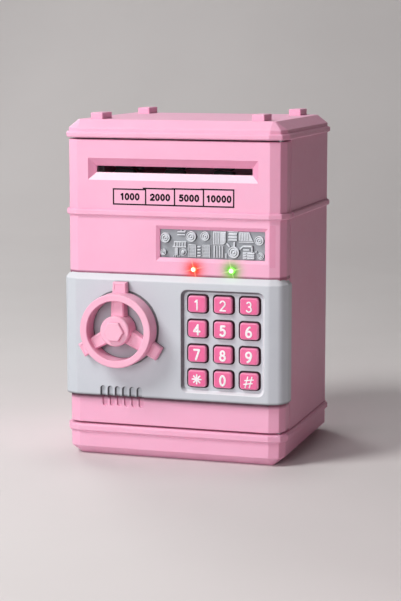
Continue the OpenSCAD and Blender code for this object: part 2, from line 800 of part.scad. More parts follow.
module key(index) {
    col = index % 3 - 1;
    row = floor(index / 3);
    color(deep_pink) translate([keypad_x + col * key_pitch_x, 0, keypad_z + (1.5 - row) * key_pitch_z]) {
        yprism(key_front_y + 0.9, key_flange_y + 0.2) rounded(key_w, key_h, key_corner);
        yprism(key_front_y, key_front_y + 1) rounded(key_w - 0.6, key_h - 0.5, key_corner - 0.2);
        yprism(key_flange_y, key_back_y) rounded(key_w + 2.4, key_h + 2.4, key_corner);
    }
}

// ---- lock plunger and roller feed ----

module lock_plunger() {
    color(steel) translate([0, plunger_y, wheel_z]) xcyl(plunger_r, plunger_tip, solenoid_x1 - 3);
}

// Straight-sided teeth: each corner is [share of the pitch, modules beyond the pitch circle]
tooth = [[-0.28, -1.25], [-0.10, 0.9], [0.10, 0.9], [0.28, -1.25]];
function gear_outline(teeth) = [for (i = [0:teeth - 1]) for (p = tooth)
    let (a = 360 * (i + p[0]) / teeth, r = gear_module * (teeth / 2 + p[1])) [r * cos(a), r * sin(a)]];

module drive_shaft() {
    color(steel) translate([0, roller_y, drive_z]) xcyl(shaft_r, -49, 53);
}

module sleeves(r, z) {
    for (x = sleeve_spots) translate([0, roller_y, z]) difference() {
        xcyl(r, x, x + sleeve_w);
        xcyl(shaft_r, x - 1, x + sleeve_w + 1);
    }
}

module drive_rollers() {
    color(dark) sleeves(drive_r, drive_z);
}

module drive_gear() {
    color("white") translate([0, roller_y, drive_z]) difference() {
        xprism(gear_x0, gear_x1) polygon(gear_outline(gear_teeth));
        xcyl(shaft_r, gear_x0 - 1, gear_x1 + 1);
    }
}

module idler_shaft() {
    color(steel) translate([0, roller_y, idler_z]) xcyl(shaft_r, -49, 49);
}

module idler_rollers() {
    color(dark) sleeves(idler_r, idler_z);
}

module motor_pinion() {
    color("white") translate([0, roller_y, pinion_z]) {
        xprism(gear_x0, gear_x1) polygon(gear_outline(pinion_teeth));
        xcyl(1, motor_x1 - 5, gear_x1 + 0.2);
    }
}

body_shell();
top_cover();
base_tray();
base_screws();
lid_screws();
hinge_pin_upper();
hinge_pin_lower();
latch_keeper();
door_shell();
front_panel();
panel_screws();
relief_plate();
red_led();
green_led();
circuit_board();
keypad_membrane();
speaker();
lock_solenoid();
inner_cover();
cover_screws();
battery_cover();
battery_screw();
battery_upper();
battery_middle();
battery_lower();
battery_contacts();
feed_frame();
feed_motor();
feed_guard();
handwheel();
latch_cam();
wheel_screw();
for (i = [0:11]) key(i);
lock_plunger();
drive_shaft();
drive_rollers();
drive_gear();
idler_shaft();
idler_rollers();
motor_pinion();
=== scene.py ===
import math

import bmesh
import bpy
from mathutils import Matrix, Vector


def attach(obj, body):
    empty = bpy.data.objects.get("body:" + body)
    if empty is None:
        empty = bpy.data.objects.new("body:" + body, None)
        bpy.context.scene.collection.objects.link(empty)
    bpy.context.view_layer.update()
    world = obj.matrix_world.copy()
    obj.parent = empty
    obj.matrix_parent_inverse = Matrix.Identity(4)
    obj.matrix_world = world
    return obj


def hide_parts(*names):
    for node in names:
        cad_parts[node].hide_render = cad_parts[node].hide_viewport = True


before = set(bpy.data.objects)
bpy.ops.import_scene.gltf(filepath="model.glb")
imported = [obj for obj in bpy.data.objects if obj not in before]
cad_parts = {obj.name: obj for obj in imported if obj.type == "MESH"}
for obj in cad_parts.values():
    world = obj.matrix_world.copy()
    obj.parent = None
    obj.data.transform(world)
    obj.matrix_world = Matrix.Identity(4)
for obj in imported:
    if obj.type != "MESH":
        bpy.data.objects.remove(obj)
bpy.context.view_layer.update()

# ---------------------------------------------------------------- levels, in millimetres
HX, HY = 60.4, 52.6
FRONT = -HY
CORNER_R = 7.4
CREASE = 1.2
WALL = 2.2
BAND_OUT = 1.5
DOOR_Z0, DOOR_Z1 = 18.2, 171.1
SEAM_Y, SHELL_Y = -38.0, -37.1
BAND_Z0, BAND_Z1 = 130.8, 134.1
LID_Z0, LID_FLANGE, LID_STEP, LID_TOP = 172.0, 175.1, 177.0, 181.5
LUGS = [(x, y) for x in (-44.6, 44.6) for y in (-37.8, 39.1)]
LUG_TOP = 184.9
FOOT_Z, FLANGE_Z0, FLANGE_Z1, BASE_TOP = 4.8, 13.1, 14.0, 17.3
SLOPE_IN = 5.9
COLUMNS = [(x, y) for x in (-51, 51) for y in (-30, 43)]
COLUMN_R = 3.8
HINGE_X, HINGE_Y = 57.0, -46.0
PANEL_Y = FRONT - 3.0
PANEL_Z0, PANEL_Z1 = 34.0, 99.85
PANEL_END = -41.4
RECESS_Y = PANEL_Y + 2.6
KEYPAD_X, KEYPAD_Z = 28.65, 65.85
PITCH_X, PITCH_Z = 14.2, 13.25
KEY_W, KEY_H = 10.1, 8.9
KEY_FRONT = RECESS_Y - 2.4
WHEEL_X, WHEEL_Z = -27.0, 71.2
SHAFT_HOLE_R = 4.06
LED_R = 1.5
RED_X, GREEN_X, LED_Z = 12.0, 32.7, 103.8
WINDOW = (-7.1, 50.4, 109.4, 124.5)
RELIEF_Y = -50.3
GROOVES = [-38.2 + 4.12 * i for i in range(6)]
GROOVE_Z0, GROOVE_Z1 = 27.8, 39.2
WELD = 1e-4


# ---------------------------------------------------------------- mesh helpers
def arc_corner(p0, v, p1, radius, n):
    """Points of a circular fillet at v between p0 and p1."""
    a, b = (p0 - v), (p1 - v)
    la, lb = a.length, b.length
    if la < 1e-9 or lb < 1e-9:
        return [v.copy()] * (n + 1)
    a, b = a / la, b / lb
    turn = math.pi - a.angle(b, 0.0)
    if turn < 1e-4 or radius <= 0:
        return [v.copy()] * (n + 1)
    t = min(radius * math.tan(turn / 2), 0.47 * la, 0.47 * lb)
    q0, q1 = v + a * t, v + b * t
    w = math.cos(turn / 2)
    out = []
    for i in range(n + 1):
        u = i / n
        k0, k1, k2 = (1 - u) ** 2, 2 * u * (1 - u) * w, u * u
        out.append((q0 * k0 + v * k1 + q1 * k2) / (k0 + k1 + k2))
    return out


def fillet(points, radii, n=4, closed=True):
    """Rounds the corners of a flat path; radii is one number or one per point."""
    pts = [Vector(p) for p in points]
    if not hasattr(radii, "__len__"):
        radii = [radii] * len(pts)
    out = []
    for i, p in enumerate(pts):
        if not closed and i in (0, len(pts) - 1):
            out.append(p)
        else:
            out += arc_corner(pts[i - 1], p, pts[(i + 1) % len(pts)], radii[i], n)
    return out


def polar(cx, cy, r, angle):
    """Point at a distance and an angle in radians from a centre."""
    return cx + r * math.cos(angle), cy + r * math.sin(angle)


def circle(cx, cy, r, n):
    return [polar(cx, cy, r, 2 * math.pi * i / n) for i in range(n)]


def at_y(points, y):
    """Flat X-Z points placed at one depth."""
    return [(p[0], y, p[1]) for p in points]


def plan(inset, crease=CREASE, side=HX, deep=HY, r=CORNER_R, n=4):
    """Case outline with two-facet corners, drawn inset from the walls, with rounded creases."""
    a, b = side - inset, deep - inset
    r = max(r - inset, 0.3)
    pts = []
    for cx, cy, start in ((a - r, b - r, 0), (r - a, b - r, 90), (r - a, r - b, 180), (a - r, r - b, 270)):
        pts += [polar(cx, cy, r, math.radians(start + 45 * i)) for i in range(3)]
    return fillet(pts, crease, n)


def skin(rings, closed=False):
    """Quads between rings of the same length; without closed, the first and last get a cap."""
    bm = bmesh.new()
    loops = [[bm.verts.new(p) for p in ring] for ring in rings]
    count = len(loops[0])
    pairs = list(zip(loops, loops[1:]))
    if closed:
        pairs.append((loops[-1], loops[0]))
    for lo, hi in pairs:
        for i in range(count):
            j = (i + 1) % count
            bm.faces.new((lo[i], lo[j], hi[j], hi[i]))
    if not closed:
        bm.faces.new(list(reversed(loops[0])))
        bm.faces.new(loops[-1])
    bmesh.ops.remove_doubles(bm, verts=bm.verts, dist=WELD)
    bmesh.ops.recalc_face_normals(bm, faces=bm.faces)
    return bm


def walls(path, closed=False, **plan_args):
    """Walls that follow the case outline along a path of (inset, z)."""
    return skin([[(p.x, p.y, q.y) for p in plan(q.x, **plan_args)] for q in path], closed)


def loft(profile, closed=False, radius=0.3, n=3):
    """Case walls whose profile has rounded corners."""
    return walls(fillet(profile, radius, n, closed), closed)


def lathe(profile, x=0.0, z=0.0, n=48, radius=0.0, segs=3):
    """Surface of revolution about the Y direction; profile is a path of (radius, y)."""
    path = fillet(profile, radius, segs, False) if radius else [Vector(p) for p in profile]
    return skin([at_y(circle(x, z, max(p.x, 0.0), n), p.y) for p in path])


def cylinder_y(r, y0, y1, x, z, n=32):
    return lathe([(0.0, y0), (r, y0), (r, y1), (0.0, y1)], x, z, n)


def upright(r, z0, z1, x, y):
    """Upright cylinder."""
    return skin([[(*p, z) for p in circle(x, y, r, 32)] for z in (z0, z1)])


def round_edges(bm, edges, size, segs=2):
    bmesh.ops.bevel(bm, geom=edges, offset=size, segments=segs, profile=0.5, affect="EDGES")


def block(low, high, bevel=0.3, segs=2):
    """Box with rounded edges."""
    bm = bmesh.new()
    bmesh.ops.create_cube(bm, size=1)
    low, high = Vector(low), Vector(high)
    for v in bm.verts:
        v.co = Vector(((low[k] + high[k]) / 2 + v.co[k] * (high[k] - low[k]) for k in range(3)))
    if bevel:
        round_edges(bm, bm.edges[:], bevel, segs)
    return bm


def prism(points, y0, y1, bevel=0.0):
    """Flat X-Z polygon drawn out from y0 to y1, with rounded edges."""
    bm = skin([at_y(points, y) for y in (y0, y1)])
    if bevel:
        round_edges(bm, bm.edges[:], bevel)
    return bm


def rounded_rect(cx, cz, w, h, r, n=5):
    pts = []
    for sx, sz, start in ((1, 1, 0), (-1, 1, 90), (-1, -1, 180), (1, -1, 270)):
        pts += [polar(cx + sx * (w / 2 - r), cz + sz * (h / 2 - r), r, math.radians(start + 90 * i / n))
                for i in range(n + 1)]
    return pts


def rect_stack(cx, cz, levels, n=5):
    """Rounded rectangles stacked along Y; each level is (y, width, height, corner radius)."""
    return skin([at_y(rounded_rect(cx, cz, w, h, max(r, 0.02), n), y) for y, w, h, r in levels])


def lip_levels(y, size, angles=(0, 30, 60, 90)):
    """Depths and growth of a rounded mouth, from in front of the face inwards."""
    return [(y - 1, size)] + [(y + size * (1 - math.cos(a)), size * (1 - math.sin(a)))
                              for a in map(math.radians, angles)]


def pill(x, z0, z1, w):
    """Outline of an upright slot with round ends."""
    r = w / 2
    return [polar(x, cz, r, math.radians(start + 180 * i / 8))
            for cz, start in ((z1 - r, 0), (z0 + r, 180)) for i in range(9)]


def pill_cutter(x, w, y_face, depth, lip_size=0.25):
    """Cutter for a closed groove with a rounded mouth and floor."""
    levels = lip_levels(y_face, lip_size) + [
        (y_face + depth - 0.35, 0), (y_face + depth - 0.1, -0.1), (y_face + depth, -0.35)]
    return skin([at_y(pill(x, GROOVE_Z0 - grow, GROOVE_Z1 + grow, w + 2 * grow), y) for y, grow in levels])


def merge(*parts):
    """One bmesh that holds all the parts, which may overlap."""
    out = bmesh.new()
    for part in parts:
        tmp = bpy.data.meshes.new("tmp")
        part.to_mesh(tmp)
        out.from_mesh(tmp)
        bpy.data.meshes.remove(tmp)
        part.free()
    return out


def boolean(bm, other, operation="DIFFERENCE"):
    """Exact boolean of two bmeshes."""
    objs = []
    for part in (bm, other):
        me = bpy.data.meshes.new("tmp")
        part.to_mesh(me)
        part.free()
        o = bpy.data.objects.new("tmp", me)
        bpy.context.scene.collection.objects.link(o)
        objs.append(o)
    mod = objs[0].modifiers.new("b", "BOOLEAN")
    mod.operation = operation
    mod.solver = "EXACT"
    mod.use_self = True
    mod.object = objs[1]
    dg = bpy.context.evaluated_depsgraph_get()
    me = bpy.data.meshes.new_from_object(objs[0].evaluated_get(dg))
    out = bmesh.new()
    out.from_mesh(me)
    bpy.data.meshes.remove(me)
    for o in objs:
        data = o.data
        bpy.data.objects.remove(o)
        bpy.data.meshes.remove(data)
    bmesh.ops.remove_doubles(out, verts=out.verts, dist=WELD)
    bmesh.ops.dissolve_degenerate(out, edges=out.edges[:], dist=WELD)
    return out


def rim_edges(bm, y, longer):
    """Sharp edges that lie in a plane of constant y and are longer than a limit."""
    return [e for e in bm.edges if all(abs(v.co.y - y) < 1e-3 for v in e.verts)
            and e.calc_length() > longer and e.calc_face_angle(0) > 0.6]


def slice_y(bm, y, keep_front, bevel=0.0):
    """Cuts at a plane of constant y, closes the cut and rounds its edges."""
    bmesh.ops.bisect_plane(bm, geom=bm.verts[:] + bm.edges[:] + bm.faces[:], plane_co=(0, y, 0),
                           plane_no=(0, 1, 0), clear_outer=keep_front, clear_inner=not keep_front, dist=WELD)
    rim = [e for e in bm.edges if e.is_boundary]
    bmesh.ops.holes_fill(bm, edges=rim, sides=0)
    bmesh.ops.recalc_face_normals(bm, faces=bm.faces)
    if bevel:
        round_edges(bm, rim_edges(bm, y, 4 * bevel), bevel)
    return bm


def piece(name, bm, body, material, nodes=(), angle=32, weighted=True):
    """Turns a bmesh in millimetres into a piece that rides on a body."""
    bmesh.ops.scale(bm, vec=(0.001,) * 3, verts=bm.verts)
    limit = math.radians(angle)
    for f in bm.faces:
        f.smooth = True
    for e in bm.edges:
        e.smooth = len(e.link_faces) == 2 and e.calc_face_angle(0) < limit
    me = bpy.data.meshes.new(name)
    bm.to_mesh(me)
    bm.free()
    me.materials.append(material.mat)
    o = bpy.data.objects.new(name, me)
    bpy.context.scene.collection.objects.link(o)
    if weighted:
        w = o.modifiers.new("normals", "WEIGHTED_NORMAL")
        w.keep_sharp = True
        w.weight = 80
    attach(o, body)
    if nodes:
        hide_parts(*nodes)


# ---------------------------------------------------------------- materials
def srgb(r, g, b):
    """Linear colour from 0..255 display values."""
    out = []
    for c in (r, g, b):
        c /= 255
        out.append(c / 12.92 if c <= 0.04045 else ((c + 0.055) / 1.055) ** 2.4)
    return (*out, 1.0)


class Nodes:
    """Short hand for building one material's nodes; tones are 0..255 display values."""

    def __init__(self, name):
        self.mat = bpy.data.materials.new(name)
        self.mat.use_nodes = True
        self.tree = self.mat.node_tree
        self.tree.nodes.clear()
        out = self.tree.nodes.new("ShaderNodeOutputMaterial")
        self.bsdf = self.tree.nodes.new("ShaderNodeBsdfPrincipled")
        self.link(self.bsdf.outputs[0], out.inputs["Surface"])
        self.coord = self.tree.nodes.new("ShaderNodeTexCoord").outputs["Object"]

    def link(self, a, b):
        self.tree.links.new(a, b)

    def set(self, **values):
        for key, value in values.items():
            self.bsdf.inputs[key.replace("_", " ")].default_value = value

    def noise(self, scale, detail=3.0, rough=0.5, vector=None):
        n = self.tree.nodes.new("ShaderNodeTexNoise")
        n.inputs["Scale"].default_value = scale
        n.inputs["Detail"].default_value = detail
        n.inputs["Roughness"].default_value = rough
        self.link(vector or self.coord, n.inputs["Vector"])
        return n.outputs["Fac"]

    def math(self, op, a, b=None, clamp=False):
        n = self.tree.nodes.new("ShaderNodeMath")
        n.operation = op
        n.use_clamp = clamp
        for i, v in enumerate((a, b)):
            if v is None:
                continue
            if isinstance(v, (int, float)):
                n.inputs[i].default_value = v
            else:
                self.link(v, n.inputs[i])
        return n.outputs[0]

    def times(self, a, b, clamp=False):
        return self.math("MULTIPLY", a, b, clamp)

    def add(self, a, b, clamp=False):
        return self.math("ADD", a, b, clamp)

    def remap(self, value, lo, hi, to_lo=0.0, to_hi=1.0):
        n = self.tree.nodes.new("ShaderNodeMapRange")
        n.inputs["From Min"].default_value = lo
        n.inputs["From Max"].default_value = hi
        n.inputs["To Min"].default_value = to_lo
        n.inputs["To Max"].default_value = to_hi
        self.link(value, n.inputs["Value"])
        return n.outputs[0]

    def cloud(self, scale, lo=0.0, hi=1.0, detail=3.0, rough=0.5):
        """Noise stretched to run from lo to hi."""
        return self.remap(self.noise(scale, detail, rough), 0.3, 0.7, lo, hi)

    def mix(self, factor, a, b, mode="MIX"):
        n = self.tree.nodes.new("ShaderNodeMix")
        n.data_type = "RGBA"
        n.blend_type = mode
        if isinstance(factor, (int, float)):
            n.inputs[0].default_value = factor
        else:
            self.link(factor, n.inputs[0])
        for i, v in ((6, a), (7, b)):
            if isinstance(v, tuple):
                n.inputs[i].default_value = v
            else:
                self.link(v, n.inputs[i])
        return n.outputs[2]

    def axes(self, vector=None):
        n = self.tree.nodes.new("ShaderNodeSeparateXYZ")
        self.link(vector or self.coord, n.inputs[0])
        return n.outputs

    def inside(self, value, low, high):
        """1 between two places in millimetres, 0 outside them."""
        return self.times(self.math("GREATER_THAN", value, low / 1000),
                          self.math("LESS_THAN", value, high / 1000))

    def offsets(self, x, z):
        """How far a point is from (x, z) of the front, and that distance squared, in millimetres."""
        ax = self.axes()
        dx = self.times(self.math("SUBTRACT", ax[0], x / 1000), 1000.0)
        dz = self.times(self.math("SUBTRACT", ax[2], z / 1000), 1000.0)
        return dx, dz, self.add(self.times(dx, dx), self.times(dz, dz))

    def color(self, value):
        self.link(value, self.bsdf.inputs["Base Color"])

    def two_tones(self, factor, a, b):
        self.color(self.mix(factor, srgb(*a), srgb(*b)))

    def tint(self, mask, tone):
        """Lays a tone over the colour made so far."""
        self.color(self.mix(mask, self.bsdf.inputs["Base Color"].links[0].from_socket, srgb(*tone)))

    def rough(self, value):
        self.link(value, self.bsdf.inputs["Roughness"])

    def bump(self, height, strength, distance):
        n = self.tree.nodes.new("ShaderNodeBump")
        n.inputs["Strength"].default_value = strength
        n.inputs["Distance"].default_value = distance
        self.link(height, n.inputs["Height"])
        self.link(n.outputs[0], self.bsdf.inputs["Normal"])


def plastic(name, base, shade, rough=0.42, subsurface=0.0, coat=0.0, bump=0.12):
    """Moulded plastic: slow colour drift, fine speckle, sprayed-grain bump, uneven gloss."""
    m = Nodes(name)
    base, shade = srgb(*base), srgb(*shade)
    slow = m.cloud(28.0, detail=4.0, rough=0.55)
    fine = m.remap(m.noise(2600.0, 2.0, 0.6), 0.35, 0.65)
    body = m.mix(m.times(slow, 0.75), base, shade)
    lighter = tuple(min(1.0, c * 1.04) for c in base[:3]) + (1.0,)
    m.color(m.mix(m.times(fine, 0.25), body, lighter))
    m.rough(m.add(m.cloud(340.0, rough - 0.05, rough + 0.05, 3.0, 0.6), m.times(fine, 0.03)))
    m.bump(m.add(fine, m.times(m.noise(180.0, 3.0, 0.5), 2.5)), bump, 0.00006)
    m.set(IOR=1.5, Specular_IOR_Level=0.26)
    if subsurface:
        m.set(Subsurface_Weight=subsurface, Subsurface_Radius=(1.0, 0.45, 0.55), Subsurface_Scale=0.0012)
    if coat:
        m.set(Coat_Weight=coat, Coat_Roughness=0.25)
    return m


def metal(name, base, rough=0.3):
    """Plated metal with brushed streaks and light dulling."""
    m = Nodes(name)
    base = srgb(*base)
    stretch = m.tree.nodes.new("ShaderNodeMapping")
    stretch.inputs["Scale"].default_value = (1.0, 1.0, 0.12)
    m.link(m.coord, stretch.inputs["Vector"])
    lines = m.noise(900.0, 4.0, 0.7, stretch.outputs[0])
    cloud = m.cloud(120.0)
    m.color(m.mix(cloud, base, tuple(c * 0.72 for c in base[:3]) + (1.0,)))
    m.rough(m.add(m.remap(lines, 0.3, 0.7, rough - 0.08, rough + 0.1), m.times(cloud, 0.08)))
    m.bump(lines, 0.15, 0.00004)
    m.set(Metallic=1.0)
    return m


def painted_shade_and_highlight_by_depth(m, y0, y1, tone, strength, reach=(-60, 60)):
    """Painted shade: a darker tone that sets in with depth from the front, as in a narrow gap; with a light
    tone it is a painted highlight; sizes in millimetres.
    """
    ax = m.axes()
    mask = m.times(m.remap(ax[1], y0 / 1000, y1 / 1000, 0.0, strength), m.inside(ax[0], *reach))
    m.tint(m.times(mask, m.cloud(700.0, 0.92, 1.0, 2.0), clamp=True), tone)


def painted_shade_and_highlight_by_facing(m, box, tone, strength, way=(1, -1)):
    """Painted shade with a dark tone, painted highlight with a light one, on walls that face one way in X and
    Z, inside a box (x0, x1, y0, y1, z0, z1) in millimetres.
    """
    facing = m.axes(m.tree.nodes.new("ShaderNodeTexCoord").outputs["Normal"])
    mask = m.remap(m.add(m.times(facing[0], way[0]), m.times(facing[2], way[1])), 0.05, 0.75, 0.0, strength)
    ax = m.axes()
    for i in range(3):
        mask = m.times(mask, m.inside(ax[i], box[2 * i], box[2 * i + 1]))
    m.tint(m.times(mask, m.cloud(600.0, 0.9, 1.0, 2.0), clamp=True), tone)


def painted_shadow_line(m, z0, z1, tone, strength):
    """Painted shadow line: a tone that grows from level z0 to level z1 and stops just past it, as beside a
    part that stands proud.
    """
    z = m.axes()[2]
    test, past = ("LESS_THAN", 1.2) if z1 > z0 else ("GREATER_THAN", -1.2)
    grow = m.math("POWER", m.remap(z, z0 / 1000, z1 / 1000), 1.4)
    stop = m.math(test, z, (z1 + past) / 1000)
    soft = m.cloud(240.0, 0.9 * strength, strength, 2.0)
    m.tint(m.times(m.times(grow, stop), soft, clamp=True), tone)


def painted_shade_ring(m, x, z, r0, r1, tone, strength):
    """Painted shade: a soft tint between two radii round a point of the front; sizes in millimetres."""
    d = m.add(m.math("SQRT", m.offsets(x, z)[2]), m.cloud(500.0, -0.08, 0.08, 2.0))
    ring = m.times(m.remap(d, r0 - 0.15, r0 + 0.15), m.remap(d, r1 - 0.15, r1 + 0.25, 1.0, 0.0))
    m.tint(m.times(ring, strength), tone)


PINK, PINK_LOW = (244, 184, 211), (241, 175, 204)
case_mat = plastic("case_pink", PINK, PINK_LOW, 0.4, subsurface=0.12)
door_mat = plastic("door_pink", PINK, PINK_LOW, 0.4, subsurface=0.12)
panel_mat = plastic("panel_grey", (204, 210, 216), (195, 202, 209), 0.36, bump=0.1)
wheel_mat = plastic("wheel_pink", (246, 190, 212), (243, 180, 206), 0.36, subsurface=0.1)
key_mat = plastic("key_pink", (240, 116, 165), (232, 100, 153), 0.33, subsurface=0.12, coat=0.15)
figure_mat = plastic("figure_white", (252, 250, 252), (242, 238, 243), 0.4, bump=0.05)
white_mat = plastic("inner_white", (232, 232, 234), (222, 223, 226), 0.5)
acetal_mat = plastic("acetal", (240, 240, 236), (228, 229, 226), 0.34)
black_mat = plastic("black_plastic", (34, 34, 36), (24, 24, 26), 0.5)
silicone_mat = plastic("silicone", (205, 207, 210), (190, 193, 198), 0.55, subsurface=0.3)
board_mat = plastic("solder_mask", (22, 96, 52), (16, 78, 44), 0.35, coat=0.2)
steel_mat = metal("zinc_steel", (196, 198, 202), 0.3)
spring_mat = metal("nickel", (206, 204, 198), 0.2)

# shade of the photograph's edges, walls and gaps, fixed to the object
# painted shade: wheel walls that face right and down go deeper pink, and its back edge goes dark as in the gap
# to the panel
painted_shade_and_highlight_by_facing(wheel_mat, (-60, 10, -71, -57.5, 30, 110), (222, 130, 168), 0.5)
painted_shade_and_highlight_by_depth(wheel_mat, -57.4, -56.9, (92, 62, 74), 0.85)
# painted shade: a dark ring on the panel round the wheel as its contact shadow, and a little shade inside the
# wheel's openings
painted_shade_ring(panel_mat, WHEEL_X, WHEEL_Z, 19.6, 20.5, (70, 62, 68), 0.8)
painted_shade_ring(panel_mat, WHEEL_X, WHEEL_Z, -1.0, 16.2, (116, 110, 116), 0.15)
# painted shade on keypad recess walls that face right and down, painted highlight on those that face left and
# up
painted_shade_and_highlight_by_facing(panel_mat, (5, 52, PANEL_Y + 0.2, RECESS_Y + 0.1, 38, 94), (96, 97, 101), 0.85)
painted_shade_and_highlight_by_facing(panel_mat, (5, 52, PANEL_Y + 0.02, RECESS_Y + 0.1, 38, 94), (240, 244, 248), 0.85, (-1, 1))
# painted shade on the panel's groove walls and deep in the key wells
painted_shade_and_highlight_by_facing(panel_mat, (-41, -15, PANEL_Y + 0.02, FRONT, 27, 41), (56, 54, 58), 0.95)
painted_shade_and_highlight_by_depth(panel_mat, RECESS_Y + 0.15, RECESS_Y + 0.9, (42, 30, 36), 0.95, (4, 52))
# painted shadow lines: along the panel's lower edge, on the door under the panel and on the door just above it
painted_shadow_line(panel_mat, 35.4, 34.2, (88, 86, 92), 0.8)
painted_shadow_line(door_mat, 30.8, 32.7, (74, 42, 56), 0.95)
painted_shadow_line(door_mat, 101.4, 100.5, (120, 62, 86), 0.85)
# painted highlight on the panel's top chamfer
painted_shade_and_highlight_by_facing(panel_mat, (-63, 63, -56, -40, 96.4, 100), (232, 236, 240), 0.6, (0, 1))
# painted shade: the right side of case and door a deeper, darker pink
for mat in (door_mat, case_mat):
    painted_shade_and_highlight_by_facing(mat, (50, 65, -55, 56, 0, 190), (208, 112, 142), 0.32, (1, 0))
# bill slot mouth: painted shade on bevels that face right, down and left, painted highlight on the bevel that
# faces up
slot_box = (-50, 50, FRONT + 0.05, FRONT + 3.2, 148, 163)
painted_shade_and_highlight_by_facing(door_mat, slot_box, (222, 118, 160), 0.6)
painted_shade_and_highlight_by_facing(door_mat, slot_box, (226, 124, 164), 0.5, (-1, 0))
painted_shade_and_highlight_by_facing(door_mat, slot_box, (255, 240, 246), 0.8, (0, 1))
# painted shade on the window bevels that face right and down
painted_shade_and_highlight_by_facing(door_mat, (-12, 56, FRONT + 0.05, FRONT + 1.4, 106, 128), (222, 118, 160), 0.5)
# painted shade on the door's groove walls that face right and down
painted_shade_and_highlight_by_facing(door_mat, (-41, -15, FRONT + 0.1, FRONT + 2, 26, 41), (168, 96, 124), 0.8)
# painted highlight on the key caps' front rim, painted shade down their sides, near black at the skirt as in a
# dark well
painted_shade_and_highlight_by_depth(key_mat, KEY_FRONT + 0.06, KEY_FRONT + 0.16, (248, 164, 198), 0.85)
painted_shade_and_highlight_by_depth(key_mat, KEY_FRONT + 0.7, KEY_FRONT + 1.3, (176, 74, 118), 0.8)
painted_shade_and_highlight_by_depth(key_mat, KEY_FRONT + 1.6, RECESS_Y + 0.3, (40, 18, 28), 0.95)

black_ink = Nodes("black_ink")
black_ink.two_tones(black_ink.cloud(1800.0), (12, 4, 8), (22, 8, 14))
black_ink.rough(black_ink.cloud(700.0, 0.55, 0.7))
black_ink.set(Specular_IOR_Level=0.2)

silver = Nodes("silver_paint")
silver.two_tones(silver.cloud(1500.0, detail=2.0), (214, 219, 224), (196, 202, 209))
# painted shade toward the relief floor and on walls that face right and down, painted highlight on walls that
# face left and up
painted_shade_and_highlight_by_depth(silver, -51.3, -50.45, (132, 137, 143), 0.8)
relief_box = (-10, 53, -53, RELIEF_Y - 0.05, 107, 127)
painted_shade_and_highlight_by_facing(silver, relief_box, (52, 56, 62), 0.95)
painted_shade_and_highlight_by_facing(silver, relief_box, (244, 247, 250), 0.7, (-1, 1))
silver.rough(silver.cloud(90.0, 0.3, 0.42))
silver.bump(silver.noise(2400.0, 2.0), 0.12, 0.00005)
silver.set(Metallic=0.25)

rubber = Nodes("rubber")
rubber.two_tones(rubber.cloud(260.0), (30, 30, 32), (46, 45, 47))
rubber.rough(rubber.cloud(900.0, 0.6, 0.8))
rubber.bump(rubber.noise(2200.0), 0.3, 0.00008)


def lens(name, core, edge, strength, x):
    """Lit lens: hot in the middle, coloured at the rim."""
    m = Nodes(name)
    hot = m.remap(m.math("SQRT", m.offsets(x, LED_Z)[2]), 0.4, 1.5)
    tone = m.mix(m.add(hot, m.cloud(1400.0, 0.0, 0.12, 2.0), clamp=True), srgb(*core), srgb(*edge))
    m.color(tone)
    m.link(tone, m.bsdf.inputs["Emission Color"])
    m.set(Emission_Strength=strength, Roughness=0.15, IOR=1.5)
    return m


red_mat = lens("red_lens", (255, 252, 215), (255, 70, 30), 2.2, RED_X)
green_mat = lens("green_lens", (252, 255, 235), (110, 255, 70), 2.0, GREEN_X)


def lamp_light(m, x, halo):
    """Masks of a lit lamp's halo and of its faint four-pointed flare on the plastic round it."""
    def fade(squared, width):
        return m.math("POWER", math.e, m.times(squared, -1.0 / width ** 2))

    dx, dz, squared = m.offsets(x, LED_Z)
    near = m.times(fade(squared, halo), 1.25, clamp=True)
    c, s = polar(0, 0, 1, math.radians(15))
    u = m.add(m.times(dx, c), m.times(dz, s))
    v = m.math("SUBTRACT", m.times(dz, c), m.times(dx, s))
    arms = [m.times(fade(m.times(across, across), 0.3), fade(m.times(along, along), 3.8))
            for along, across in ((u, v), (v, u))]
    return near, m.math("MAXIMUM", *arms)


def lit_door(m):
    """Lays the two lamps' light on the door plastic."""
    black = (0, 0, 0, 1)
    red, red_ray = lamp_light(m, RED_X, 5.0)
    green, green_ray = lamp_light(m, GREEN_X, 4.6)
    ruffle = m.cloud(900.0, 0.82, 1.0, 2.0, 0.6)
    m.tint(m.times(red, ruffle, clamp=True), (206, 52, 30))
    m.tint(m.times(green, ruffle, clamp=True), (92, 156, 48))
    glow_red = m.mix(m.times(red, ruffle), black, (0.55, 0.045, 0.015, 1))
    glow_green = m.mix(m.times(green, ruffle), black, (0.10, 0.36, 0.02, 1))
    rays = m.mix(green_ray, m.mix(red_ray, black, (1.0, 0.80, 0.48, 1)), (0.86, 1.0, 0.45, 1))
    light = m.mix(1.0, m.mix(1.0, glow_red, glow_green, "ADD"), rays, "ADD")
    m.link(light, m.bsdf.inputs["Emission Color"])
    m.set(Emission_Strength=0.5)


lit_door(door_mat)


# ---------------------------------------------------------------- case
def band():
    """Raised band round the case."""
    out, bevel = -BAND_OUT, 0.7
    return loft([(0.5, BAND_Z0 + 0.05), (out + bevel, BAND_Z0), (out, BAND_Z0 + bevel),
                 (out, BAND_Z1 - bevel), (out + bevel, BAND_Z1), (0.5, BAND_Z1 - 0.05)],
                closed=True, radius=0.22, n=2)


